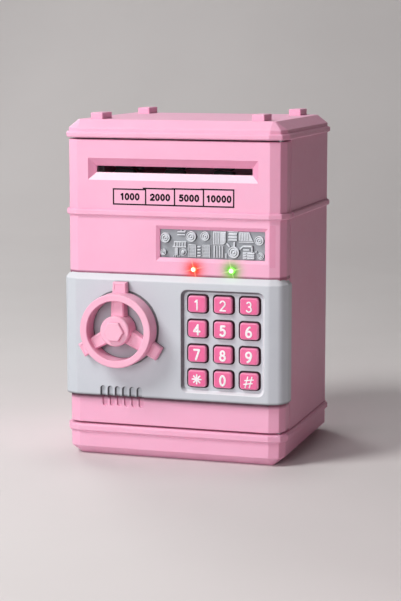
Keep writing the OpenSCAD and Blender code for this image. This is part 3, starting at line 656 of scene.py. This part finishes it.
def make_body():
    shell = loft([(0, BASE_TOP + 0.1), (0, LID_Z0), (WALL, LID_Z0), (WALL, BASE_TOP + 0.1)],
                 closed=True, radius=0.15)
    slice_y(shell, SHELL_Y, False, 0.3)
    ring = slice_y(band(), SHELL_Y, False)
    slot = rect_stack(0, 156, [(-HY - 1.0, 37.0, 8.6, 1.0)] + [(y - HY, w, h, 0.6) for y, w, h in (
        (0, 35.4, 7.0), (0.25, 35.0, 6.6), (1.2, 32.4, 4.0), (1.6, 32.0, 3.6), (6, 32.0, 3.6))], 3)
    bmesh.ops.rotate(slot, cent=(0, 0, 0), matrix=Matrix.Rotation(math.pi, 3, "Z"), verts=slot.verts)
    bmesh.ops.recalc_face_normals(slot, faces=slot.faces)
    shell = boolean(shell, slot)
    inside = []
    for x, y in COLUMNS:
        wall_x = math.copysign(HX - 1, x)
        left, right = min(x, wall_x), max(x, wall_x)
        for post_z, rib_z, top in ((6.1, BASE_TOP + 0.2, 24.1), (150, 150, LID_Z0 - 0.05)):
            inside.append(upright(COLUMN_R, post_z, top, x, y))
            inside.append(block((left, y - 1, rib_z), (right, y + 1, top), 0.2))
    piece("case_walls", merge(shell, ring, *inside), "case", case_mat, ["body_shell"])


def chamfered_plate(profile, radii, step_z, flat_z):
    """Lid or base: a closed wall profile that ends in the slope to the flat, with a rounded crease there."""
    slope = fillet([(0, step_z), (SLOPE_IN, flat_z), (9.0, flat_z)], 0.8, 3, False)[1:-1]
    return walls(fillet(profile, radii, 3, False)[:-1] + slope)


def make_lid():
    out = -BAND_OUT
    lid = chamfered_plate(
        [(6.6, 179.1), (WALL + 0.2, 177), (WALL + 0.2, LID_Z0), (out + 0.7, LID_Z0), (out, LID_Z0 + 0.7),
         (out, LID_FLANGE - 0.7), (out + 0.7, LID_FLANGE), (0, LID_FLANGE), (0, LID_STEP),
         (SLOPE_IN, LID_TOP)],
        [0, 0.5, 0.15, 0.2, 0.3, 0.3, 0.25, 0.25, 0.7, 0], LID_STEP, LID_TOP)
    lugs = [block((x - 3.4, y - 7.4, LID_TOP - 0.6), (x + 3.4, y + 7.4, LUG_TOP), 0.45, 3) for x, y in LUGS]
    posts = [upright(COLUMN_R, LID_Z0 + 0.1, 178.6, x, y) for x, y in COLUMNS]
    piece("lid", merge(lid, *lugs, *posts), "case", case_mat, ["top_cover"])


def make_base():
    out = -BAND_OUT
    base = chamfered_plate(
        [(6.4, 2.6), (WALL, 6), (WALL, BASE_TOP), (out + 0.9, BASE_TOP), (out, BASE_TOP - 0.9),
         (out, FLANGE_Z1), (out + 0.9, FLANGE_Z0), (0, FLANGE_Z0), (0, FOOT_Z), (SLOPE_IN, 0)],
        [0, 0.5, 0.2, 0.25, 0.35, 0.35, 0.25, 0.25, 0.7, 0], FOOT_Z, 0)
    base = boolean(base, merge(*[upright(3.1, -1, 3.0, x, y) for x, y in COLUMNS]))
    sill = block((-58.4, -52.0, 14.9), (58.4, -37.6, BASE_TOP - 0.02), 0.3)
    posts = [upright(COLUMN_R, 2.4, 6.0, x, y) for x, y in COLUMNS]
    piece("base", merge(base, sill, *posts), "case", case_mat, ["base_tray"])


# ---------------------------------------------------------------- door
def slot_cutter():
    """Bill slot: a wide mouth that slopes in to a narrow opening; levels are (depth, half width, z0, z1)."""
    levels = [(-1, 47.6, 149.0, 162.0), (0, 47.0, 149.6, 161.4), (0.07, 46.87, 149.73, 161.27),
              (0.25, 46.65, 149.95, 161.05), (2.85, 43.2, 153.35, 157.25), (3.05, 43.0, 153.55, 157.05),
              (6, 43.0, 153.6, 157.0)]
    return skin([at_y(rounded_rect(0, (z0 + z1) / 2, 2 * x, z1 - z0, 0.25, 3), FRONT + y)
                 for y, x, z0, z1 in levels])


def window_cutter():
    x0, x1, z0, z1 = WINDOW
    levels = [(-1, 2.2), (0, 2.0), (0.06, 1.87), (0.2, 1.68), (0.92, 0.14), (1.1, 0.0), (4, 0.0)]
    return rect_stack((x0 + x1) / 2, (z0 + z1) / 2,
                      [(FRONT + y, x1 - x0 + 2 * grow, z1 - z0 + 2 * grow, 0.3) for y, grow in levels], 3)


def make_door():
    outer = loft([(0.9, DOOR_Z0), (0.25, DOOR_Z0 + 0.2), (0, DOOR_Z0 + 0.8), (0, DOOR_Z1 - 0.8),
                  (0.25, DOOR_Z1 - 0.2), (0.9, DOOR_Z1)], radius=0.0)
    slice_y(outer, SEAM_Y, True)
    inner = loft([(WALL, DOOR_Z0 + WALL), (WALL, DOOR_Z1 - WALL)], radius=0.0)
    slice_y(inner, SEAM_Y + 2, True)
    shell = boolean(outer, inner)
    shell = boolean(shell, block((-48.6, FRONT + 1.7, 147.5), (48.6, FRONT + 4.0, 163.5), 0.0), "UNION")
    cutters = [slot_cutter(), window_cutter()]
    hole = [(0.0, -1), (1.9, -1), (1.85, 0), (1.66, 0.1), (1.6, 0.3), (1.6, 4), (0.0, 4)]
    cutters += [lathe([(r, FRONT + y) for r, y in hole], x, LED_Z, 32) for x in (RED_X, GREEN_X)]
    cutters.append(block((4.5, FRONT - 1, 36.5), (52.5, FRONT + 4, 94.5), 0.0))
    cutters.append(cylinder_y(SHAFT_HOLE_R, FRONT - 1, FRONT + 8, WHEEL_X, WHEEL_Z, 48))
    cutters += [pill_cutter(x, 2.9, FRONT, 1.2) for x in GROOVES]
    for cutter in cutters:
        shell = boolean(shell, cutter)
    round_edges(shell, rim_edges(shell, SEAM_Y, 1.0), 0.25)
    ring = slice_y(band(), SEAM_Y - 1, True, 0.15)
    bosses = [upright(2.7, z, z + 4.7, HINGE_X, HINGE_Y) for z in (DOOR_Z0 + 0.3, DOOR_Z1 - 5)]
    bosses.append(boolean(cylinder_y(7, FRONT + 1.8, -47.4, WHEEL_X, WHEEL_Z, 40),
                          cylinder_y(SHAFT_HOLE_R, FRONT, -46, WHEEL_X, WHEEL_Z, 40)))
    piece("door_front", merge(shell, ring, *bosses), "door", door_mat, ["door_shell"])


def key_places():
    """Centres of the twelve keys, row by row from the top left."""
    return [(KEYPAD_X + (i % 3 - 1) * PITCH_X, KEYPAD_Z + (1.5 - i // 3) * PITCH_Z) for i in range(12)]


def make_panel():
    profile = fillet([(0.35, PANEL_Z0), (0, PANEL_Z0 + 0.35), (0, 96.9), (2.95, PANEL_Z1)], [0, 0.3, 1.2, 0],
                     4, False)
    outer = walls(profile, crease=5.0, side=HX + 1.9, deep=HY + 3.0, r=8.8, n=6)
    slice_y(outer, PANEL_END, True)
    inner = loft([(-0.05, PANEL_Z0 - 1), (-0.05, PANEL_Z1 + 1)], radius=0.0)
    slice_y(inner, PANEL_END + 1, True)
    panel = boolean(outer, inner)
    panel = boolean(panel, block((4.8, FRONT - 1, 36.8), (52.2, RECESS_Y + 1.6, 94.2), 0.0), "UNION")
    levels = lip_levels(PANEL_Y, 0.6, (0, 20, 40, 60, 75)) + [
        (PANEL_Y + 1.0, -0.25), (RECESS_Y - 0.6, -0.75), (RECESS_Y - 0.2, -0.9), (RECESS_Y - 0.03, -1.1),
        (RECESS_Y, -1.35)]
    recess = rect_stack((5.8 + 51) / 2, (38.4 + 93) / 2,
                        [(y, 45.2 + 2 * grow, 54.6 + 2 * grow, 3.4 + grow * 0.6) for y, grow in levels], 8)
    levels = [(y, 12.0 + 2 * grow, 10.3 + 2 * grow, 2.2 + grow)
              for y, grow in lip_levels(RECESS_Y, 0.3) + [(RECESS_Y + 3, 0)]]
    wells = merge(*[rect_stack(x, z, levels, 6) for x, z in key_places()])
    grooves = merge(*[pill_cutter(x, 2.7, PANEL_Y, 1.7, 0.5) for x in GROOVES])
    for cutter in (recess, wells, grooves, cylinder_y(4.5, PANEL_Y - 1, FRONT + 1, WHEEL_X, WHEEL_Z, 48)):
        panel = boolean(panel, cutter)
    piece("grey_panel", panel, "door", panel_mat, ["front_panel"], angle=28)


# ---------------------------------------------------------------- relief, lamps
def make_relief():
    """Made-up machine scenery behind the window: wheels, cylinders, ribs, pipes and boxes."""
    y = RELIEF_Y
    parts = [block((-8.6, y, 108.0), (51.8, y + 1.5, 125.9), 0.0)]

    def disc(x, z, r, h, profile):
        top = y - h
        path = [(k * r, top + dy) for k, dy in profile[:-1]] + [(profile[-1][0] * r, y + 0.3), (0.0, y + 0.4)]
        parts.append(lathe(path, x, z, 40, 0.06, 2))

    def raised(x0, x1, z0, z1, h, bevel=0.16):
        b = min(bevel, 0.3 * (x1 - x0), 0.3 * (z1 - z0))
        parts.append(block((x0, y - h, z0), (x1, y + 0.4, z1), b))

    def ledge(points, h, bevel=0.2):
        parts.append(prism(points, y - h, y + 0.4, bevel))

    def ribs(count, pitch, x0, x1, z0, z1, h, bevel):
        for i in range(count):
            raised(x0 + pitch * i, x1 + pitch * i, z0, z1, h, bevel)

    def rungs(count, pitch, x0, x1, z0, z1, h, bevel):
        for i in range(count):
            raised(x0, x1, z0 + pitch * i, z1 + pitch * i, h, bevel)

    wheel = [(0.0, -0.15), (0.16, -0.12), (0.22, 0.28), (0.34, 0.3), (0.4, -0.1), (0.56, -0.1), (0.62, 0.32),
             (0.76, 0.32), (0.82, 0), (0.95, 0.02), (1, 0.18), (1.03, 0)]
    dome = [(0.0, -0.7), (0.45, -0.55), (0.6, 0), (0.62, 0.35), (0.8, 0.35), (0.85, 0), (0.97, 0.05),
            (1, 0.2), (1.04, 0)]
    for x, z, r, h in ((-4.0, 119.9, 2.7, 1.9), (-5.1, 112.3, 1.7, 1.9), (10.2, 120.9, 2.85, 1.8),
                       (17.8, 121.3, 2.45, 1.5), (47.2, 119.8, 2.5, 1.4), (33.5, 113.3, 3.1, 1.7),
                       (48.0, 111.8, 1.85, 1.1)):
        disc(x, z, r, h, wheel)
    disc(5.7, 112.5, 2.0, 1.0, dome)
    rungs(2, 1.5, 2.4, 6.9, 121.3, 122.05, 1.1, 0.3)
    raised(4.2, 5.0, 123.4, 124.3, 0.8)
    raised(6.0, 7.4, 123.2, 124.2, 0.7)
    ledge([(-0.4, 115.2), (7.5, 115.2), (7.5, 118.1), (1.0, 118.1)], 0.5, 0.12)
    raised(0.6, 7.5, 117.6, 118.2, 1.1)
    raised(-0.2, 7.5, 115.0, 115.6, 1.1)
    ribs(5, 1.45, 0.7, 1.35, 115.3, 118.0, 1.05, 0.16)
    raised(0.9, 2.9, 110.6, 114.9, 0.9, 0.4)
    ribs(4, 1.0, 0.2, 0.9, 109.9, 110.6, 1.2, 0.25)
    for x0, x1 in ((8.4, 12.9), (16.0, 20.6)):
        raised(x0, x1, 110.0, 116.8, 0.5)
        raised(x0, x0 + 0.5, 110.0, 116.8, 0.95)
        raised(x1 - 0.5, x1, 110.0, 116.8, 0.95)
        raised(x0, x1, 116.3, 116.8, 0.95)
        rungs(8, 0.76, x0 + 0.4, x1 - 0.4, 110.2, 110.6, 0.85, 0.12)
    rungs(4, 1.6, 13.4, 15.5, 110.4, 111.2, 1.15, 0.25)
    ledge([(22, 117.1), (27.9, 117.1), (29.3, 118.6), (29.3, 124.1), (22, 124.1)], 1.1)
    ribs(4, 0.95, 22.5, 22.95, 117.6, 123.7, 1.5, 0.12)
    raised(26.4, 28.9, 118.6, 123.7, 1.35, 0.2)
    raised(22.2, 28.3, 110.0, 116.8, 0.5)
    ribs(4, 1.45, 22.6, 23.4, 110.2, 116.6, 1.3, 0.25)
    raised(28.6, 29.6, 110.0, 112.6, 0.8)
    for z in (119.3, 120.8, 122.4):
        raised(30.4, 35.3, z, z + 0.9, 1.3, 0.25)
    raised(30.6, 35.1, 119.2, 123.8, 0.7)
    raised(29.9, 35.9, 123.8, 124.4, 1.0)
    ledge([(36.1, 119.3), (44.0, 119.3), (41.7, 124.2), (36.1, 124.2)], 0.9)
    for x in (36.9, 38.3, 39.7, 41.0):
        raised(x, x + 0.35, 119.8, 123.8, 1.2, 0.1)
    raised(36.0, 44.3, 118.6, 119.1, 1.1)
    raised(33.1, 34.3, 116.0, 118.8, 1.2, 0.3)
    for cx, cz, a, l, w, h in ((30.5, 117.0, 45, 2.6, 0.9, 1.4), (37.7, 115.9, -45, 2.7, 1.0, 1.3)):
        ledge(turned(trapezoid(l / 2, -w / 2, l / 2, w / 2), a, cx, cz), h, 0.25)
    raised(38.4, 43.9, 116.1, 117.2, 1.35, 0.35)
    raised(42.8, 43.9, 113.4, 117.2, 1.35, 0.35)
    raised(38.2, 44.6, 109.8, 113.9, 0.8)
    rungs(3, 1.25, 41.0, 44.8, 110.1, 110.9, 1.35, 0.25)
    rungs(3, 1.25, 38.5, 40.4, 110.1, 110.9, 1.2, 0.25)
    raised(38.4, 42.0, 114.4, 115.3, 1.0)
    raised(45.2, 45.9, 113.4, 114.6, 1.2)
    raised(20.9, 21.3, 109.8, 124.4, 0.5, 0.1)
    piece("relief", merge(*parts), "door", silver, ["relief_plate"], angle=40)


def make_lamp(name, node, x, material):
    """Domed lamp; its path is (radius, depth behind the front)."""
    path = [(0.0, -1.7), (0.5, -1.62), (0.95, -1.38), (1.28, -0.98), (1.45, -0.5), (LED_R, -0.1),
            (LED_R, 2.8), (1.9, 2.85), (1.9, 3.8), (0.0, 3.8)]
    lamp = lathe([(r, FRONT + y) for r, y in path], x, LED_Z, 40)
    piece(name, lamp, "door", material, [node])


# ---------------------------------------------------------------- handwheel
def turned(points, degrees, cx=WHEEL_X, cz=WHEEL_Z):
    """Points of the X-Z plane turned clockwise about zero and moved to a centre, here the wheel's."""
    c, s = polar(0, 0, 1, math.radians(degrees))
    return [(cx + x * c + z * s, cz - x * s + z * c) for x, z in points]


def chamfered_bar(points, y_front, y_back, chamfer, soft=0.15):
    """Straight bar with a broad chamfer round its front face; points run round the outline in X-Z."""
    pts = [Vector(p) for p in points]
    count = len(pts)
    inner = []
    for i, p in enumerate(pts):
        a, b = (pts[i - 1] - p).normalized(), (pts[(i + 1) % count] - p).normalized()
        inner.append(p + (a + b).normalized() * (chamfer / math.sin(a.angle(b) / 2)))
    bm = skin([at_y(pts, y_back), at_y(pts, y_front + chamfer), at_y(inner, y_front)])
    round_edges(bm, [e for e in bm.edges if min(v.co.y for v in e.verts) < y_back - 0.1], soft)
    return bm


def trapezoid(w0, z0, w1, z1):
    """Bar across the X axis, given by its half widths at two radii."""
    return [(-w0, z0), (w0, z0), (w1, z1), (-w1, z1)]


def make_wheel():
    path = fillet([(15.9, -56.0), (15.9, -67.6), (19.75, -67.6), (19.75, -56.0)], [0.3, 0.55, 0.65, 0.3])
    rim = skin([at_y(circle(WHEEL_X, WHEEL_Z, p.x, 96), p.y) for p in path], closed=True)
    hub = [(0.0, -68.3), (7.5, -68.3), (8.1, -67.7), (8.1, -56.0), (0.0, -56.0)]
    solids = [lathe(hub, WHEEL_X, WHEEL_Z, 72, 0.45, 3)]
    pockets = []
    for turn in (0, 120, 240):
        for bar, y_front, y_back, chamfer in ((trapezoid(3.9, 7.0, 3.3, 17.0), -63.8, -57.6, 0.75),
                                              (trapezoid(4.2, 17.6, 3.8, 25.2), -60.4, -56.1, 0.7)):
            solids.append(chamfered_bar(turned(bar, turn), y_front, y_back, chamfer))
        for pocket, y in ((trapezoid(2.5, 9.4, 2.05, 15.2), -63.5), (trapezoid(2.9, 20.9, 2.6, 24.1), -60.1)):
            pockets.append(prism(turned(pocket, turn), y - 1.2, y))
    hexagon = [polar(0, 0, 5.6, math.radians(60 * i)) for i in range(6)]
    solids.append(chamfered_bar(turned(hexagon, 0), -70.6, -68.0, 0.35, 0.12))
    solids.append(cylinder_y(4.0, -56.2, -47.1, WHEEL_X, WHEEL_Z, 40))
    wheel = rim
    for solid in solids:
        wheel = boolean(wheel, solid, "UNION")
    for pocket in pockets + [cylinder_y(1.42, -60, -46, WHEEL_X, WHEEL_Z, 24)]:
        wheel = boolean(wheel, pocket)
    piece("handwheel_grip", wheel, "wheel", wheel_mat, ["handwheel"], angle=30)


# ---------------------------------------------------------------- figures
def arc(cx, cz, rx, rz, a0, a1, n=18):
    return [(cx + rx * math.cos(math.radians(a0 + (a1 - a0) * i / n)),
             cz + rz * math.sin(math.radians(a0 + (a1 - a0) * i / n))) for i in range(n + 1)]


def strokes(sign):
    """Strokes of one figure, one unit high; each is (1 for a closed loop or 0, points)."""
    six = arc(0.30, 0.34, 0.56, 0.72, 180, 112, 12)
    table = {
        "0": [(1, arc(0, 0.5, 0.25, 0.5, 90, 450, 40))],
        "1": [(0, [(-0.17, 0.80), (0.04, 0.99)]), (0, [(0.04, 0.99), (0.04, 0.0)])],
        "2": [(0, arc(0, 0.71, 0.26, 0.29, 165, -38, 18) + [(-0.27, 0.0)]), (0, [(-0.27, 0.0), (0.29, 0.0)])],
        "3": [(0, arc(0, 0.755, 0.22, 0.245, 150, -90, 18)), (0, arc(0, 0.265, 0.26, 0.265, 90, -150, 20))],
        "4": [(0, [(0.12, 1.0), (-0.3, 0.33)]), (0, [(-0.3, 0.33), (0.32, 0.33)]),
              (0, [(0.12, 1.0), (0.12, 0.0)])],
        "5": [(0, [(0.22, 0.99), (-0.15, 0.99)]), (0, [(-0.15, 0.99), (-0.18, 0.56)]),
              (0, arc(-0.02, 0.32, 0.27, 0.32, 127, -140, 22))],
        "6": [(1, arc(0, 0.29, 0.26, 0.29, 90, 450, 32)), (0, six + [(0.12, 1.0)])],
        "7": [(0, [(-0.27, 0.99), (0.27, 0.99)]), (0, [(0.27, 0.99), (-0.08, 0.0)])],
        "8": [(1, arc(0, 0.76, 0.2, 0.235, 90, 450, 30)), (1, arc(0, 0.265, 0.26, 0.265, 90, 450, 32))],
        "9": [(1, arc(0, 0.71, 0.26, 0.29, 90, 450, 32)),
              (0, [(-x, 1 - z) for x, z in six] + [(-0.12, 0.0)])],
        "star": [(0, [polar(0, 0.5, r, math.radians(a)) for r in (0.06, 0.36)]) for a in range(0, 360, 45)],
        "hash": [(0, [(-0.24, 0.12), (-0.06, 0.86)]), (0, [(0.06, 0.12), (0.24, 0.86)]),
                 (0, [(-0.33, 0.34), (0.26, 0.42)]), (0, [(-0.26, 0.60), (0.33, 0.68)])],
    }
    return table[sign]


def stroke_mesh(points, half, y, height, closed):
    """Raised line with round ends along a flat path."""
    pts = [Vector(p) for p in points]
    if closed:
        pts = pts[:-1]
    count = len(pts)
    frames = []
    for i, p in enumerate(pts):
        if closed:
            t = pts[(i + 1) % count] - pts[i - 1]
        else:
            t = pts[min(i + 1, count - 1)] - pts[max(i - 1, 0)]
        frames.append((p, t.normalized(), 1.0))
    if not closed:
        def cap(end, way, angles):
            p, t, _ = frames[end]
            return [(p + t * (way * half * math.sin(a)), t, math.cos(a)) for a in map(math.radians, angles)]

        frames = cap(0, -1, (80, 60, 40, 20)) + frames + cap(-1, 1, (20, 40, 60, 80))
    section = [(1.0, 0.0), (1.0, 0.55), (0.86, 0.85), (0.6, 1.0)]
    section += [(-u, v) for u, v in reversed(section)]
    rings = []
    for p, t, k in frames:
        side = Vector((t.y, -t.x))
        rings.append([(p.x + side.x * half * k * u, y + 0.1 - (height + 0.1) * v * (0.4 + 0.6 * k),
                       p.y + side.y * half * k * u) for u, v in section])
    return skin(rings, closed)


def figure(sign, x, z, high, half, y, height, wide=1.0):
    """Meshes of one figure; each stroke is a little prouder than the last, so no faces coincide."""
    out = []
    for i, (closed, pts) in enumerate(strokes(sign)):
        moved = [(x + p[0] * high * wide, z + (p[1] - 0.5) * high) for p in pts]
        out.append(stroke_mesh(moved, half, y, height + 0.006 * i, bool(closed)))
    return out


def make_keys():
    """Key caps with raised figures; scale and weight follow how large and bold each figure is."""
    signs = ("1", "2", "3", "4", "5", "6", "7", "8", "9", "star", "0", "hash")
    weights = (0.42, 0.4, 0.4, 0.52, 0.58, 0.56, 0.58, 0.54, 0.56, 0.42, 0.56, 0.34)
    scale = {"star": 1.3, "hash": 1.5}
    flange, w, h = 2.4, KEY_W, KEY_H
    top = KEY_FRONT + 0.04
    levels = [(RECESS_Y + 2.9, w + flange, h + flange, 1.6), (RECESS_Y + 1.95, w + flange, h + flange, 1.6),
              (RECESS_Y + 1.9, w, h, 1.6)] + [(KEY_FRONT + y, w - dw, h - dh, r) for y, dw, dh, r in (
                  (1.1, 0, 0, 1.6), (0.85, 0.3, 0.25, 1.5), (0.5, 0.6, 0.5, 1.4), (0.3, 0.75, 0.65, 1.35),
                  (0.14, 1.1, 1.0, 1.2), (0.06, 1.55, 1.45, 1.0), (0.04, 1.8, 1.7, 0.9),
                  (0.04, 3.5, 3.4, 0.6))]
    for sign, weight, (x, z) in zip(signs, weights, key_places()):
        body = "key_" + sign
        piece("key_cap_" + sign, rect_stack(x, z, levels, 6), body, key_mat, [body], angle=40)
        marks = figure(sign, x, z - 0.3, 5.1 * scale.get(sign, 1.0), weight, top, 0.22)
        piece("key_figure_" + sign, merge(*marks), body, figure_mat, angle=50,
              weighted=False)


def line_mesh(x0, z0, x1, z1, half, y, height):
    """Thin printed line with square corners."""
    a, b = Vector((x0, z0)), Vector((x1, z1))
    d = (b - a).normalized() * half
    n = Vector((-d.y, d.x))
    return prism([a - d + n, a - d - n, b + d - n, b + d + n], y + 0.1, y - height)


def make_labels():
    """Printed value boxes under the bill slot; their top line rises in steps to the right."""
    edges = [-32.6, -14.6, 1.4, 17.3, 33.7]
    low, high, half, ink, pitch = 137.1, 145.1, 0.38, 0.035, 2.85
    parts = []

    def line(x0, z0, x1, z1):
        parts.append(line_mesh(x0, z0, x1, z1, half, FRONT, ink))

    for i, value in enumerate(("1000", "2000", "5000", "10000")):
        x0, x1 = edges[i], edges[i + 1]
        top = high + 0.15 * i
        step, lap = (0.5, 1.2) if i else (0, 0)
        line(x0, low, x1, low)
        line(x0 - lap, top + step, x1, top + step)
        line(x0, low, x0, top)
        for k, sign in enumerate(value):
            x = (x0 + x1) / 2 + (k - (len(value) - 1) / 2) * pitch + (0.25 if sign == "1" else 0)
            parts += figure(sign, x, (low + high) / 2 + 0.1, 2.95, 0.52, FRONT, ink, 1.16)
    line(edges[-1], low, edges[-1], high + 0.95)
    piece("value_labels", merge(*parts), "door", black_ink, weighted=False)


make_body()
make_lid()
make_base()
make_door()
make_panel()
make_relief()
make_lamp("red_lamp", "red_led", RED_X, red_mat)
make_lamp("green_lamp", "green_led", GREEN_X, green_mat)
make_wheel()
make_keys()
make_labels()


# ---------------------------------------------------------------- inner parts
def dress(node, material, bevel=0.0):
    """Gives a CAD node a better material and, where asked, rounded edges."""
    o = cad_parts[node]
    o.data.materials.clear()
    o.data.materials.append(material.mat)
    if bevel:
        weld = o.modifiers.new("weld", "WELD")
        weld.merge_threshold = 0.00002
        b = o.modifiers.new("round", "BEVEL")
        b.width = bevel / 1000
        b.segments = 2
        b.limit_method = "ANGLE"
        b.angle_limit = math.radians(40)
        b.harden_normals = True


battery_mat = Nodes("battery_jacket")
battery_mat.two_tones(battery_mat.cloud(300.0), (36, 40, 50), (28, 31, 40))
battery_mat.tint(battery_mat.math("GREATER_THAN", battery_mat.axes()[0], 0.0385), (196, 134, 74))
battery_mat.rough(battery_mat.cloud(500.0, 0.22, 0.34))
battery_mat.set(Metallic=0.25)

for material, edge, nodes in (
        (steel_mat, 0, ("base_screws", "lid_screws", "hinge_pin_upper", "hinge_pin_lower", "panel_screws",
                        "lock_solenoid", "cover_screws", "battery_screw", "feed_motor", "wheel_screw",
                        "lock_plunger", "drive_shaft", "idler_shaft")),
        (steel_mat, 0.15, ("latch_keeper",)),
        (board_mat, 0, ("circuit_board",)),
        (silicone_mat, 0, ("keypad_membrane",)),
        (black_mat, 0, ("speaker",)),
        (white_mat, 0.3, ("inner_cover", "feed_guard")),
        (white_mat, 0.25, ("battery_cover",)),
        (white_mat, 0.2, ("feed_frame",)),
        (battery_mat, 0, ("battery_upper", "battery_middle", "battery_lower")),
        (spring_mat, 0, ("battery_contacts",)),
        (acetal_mat, 0.25, ("latch_cam",)),
        (acetal_mat, 0, ("drive_gear", "motor_pinion")),
        (rubber, 0, ("drive_rollers", "idler_rollers"))):
    for node in nodes:
        dress(node, material, edge)


# ---------------------------------------------------------------- floor, light, camera
def make_stage():
    """Floor that curves up into a backdrop; sizes in metres."""
    half, bend_y, bend_r = 3.0, 0.9, 0.5
    rows = [(-half, 0.0), (bend_y, 0.0)]
    rows += [polar(bend_y, bend_r, bend_r, math.radians(a)) for a in range(-80, 1, 10)]
    rows.append((bend_y + bend_r, half))
    bm = bmesh.new()
    rings = [[bm.verts.new((x, y, z)) for x in (-half, half)] for y, z in rows]
    for a, b in zip(rings, rings[1:]):
        bm.faces.new((a[0], a[1], b[1], b[0]))
    me = bpy.data.meshes.new("floor")
    bm.to_mesh(me)
    bm.free()
    for p in me.polygons:
        p.use_smooth = True
    m = Nodes("floor_paper")
    m.two_tones(m.cloud(6.0), (220, 217, 216), (216, 213, 212))
    m.set(Roughness=0.85)
    me.materials.append(m.mat)
    o = bpy.data.objects.new("floor", me)
    bpy.context.scene.collection.objects.link(o)


def area_light(name, place, aim, size, power, color):
    """Round light at a place, turned to a point; metres and watts."""
    data = bpy.data.lights.new(name, "AREA")
    data.shape = "DISK"
    data.size = size
    data.energy = power
    data.color = color
    o = bpy.data.objects.new(name, data)
    o.location = place
    o.rotation_euler = (Vector(aim) - Vector(place)).to_track_quat("-Z", "Y").to_euler()
    bpy.context.scene.collection.objects.link(o)


make_stage()
area_light("key", (-0.53, -0.62, 0.90), (0, 0, 0.09), 0.42, 9.7, (1.0, 0.985, 0.975))
area_light("front_fill", (-0.15, -1.6, 0.45), (0, 0, 0.1), 0.7, 8.6, (1.0, 0.98, 1.0))
area_light("warm_side", (0.33, -0.42, 0.22), (0.06, -0.03, 0.09), 0.12, 0.14, (1.0, 0.6, 0.68))
area_light("top", (-0.02, 0.08, 1.0), (0, 0, 0.18), 0.2, 1.3, (1.0, 0.98, 0.98))
area_light("back_left", (-0.9, 1.0, 0.9), (0, 0, 0.09), 0.6, 6, (1.0, 0.98, 0.98))

world = bpy.data.worlds.new("studio")
world.use_nodes = True
ambient = world.node_tree.nodes["Background"].inputs
ambient["Color"].default_value = (0.8, 0.78, 0.79, 1)
ambient["Strength"].default_value = 0.03
bpy.context.scene.world = world
bpy.context.scene.view_settings.view_transform = "Standard"

# camera fitted to the photograph's case corners: place in metres, turned left and tilted down
yaw, pitch = math.radians(17.219), math.radians(8.279)
right = Vector((math.cos(yaw), math.sin(yaw), 0))
ahead = Vector((-math.sin(yaw) * math.cos(pitch), math.cos(yaw) * math.cos(pitch), -math.sin(pitch)))
up = right.cross(ahead)
camera = bpy.data.cameras.new("camera")
camera.lens = 106.28
camera.sensor_width = 36.0
view = bpy.data.objects.new("camera", camera)
turn = Matrix((right, up, -ahead)).transposed().to_4x4()
view.matrix_world = Matrix.Translation((0.28920, -0.93520, 0.22188)) @ turn
bpy.context.scene.collection.objects.link(view)
bpy.context.scene.camera = view
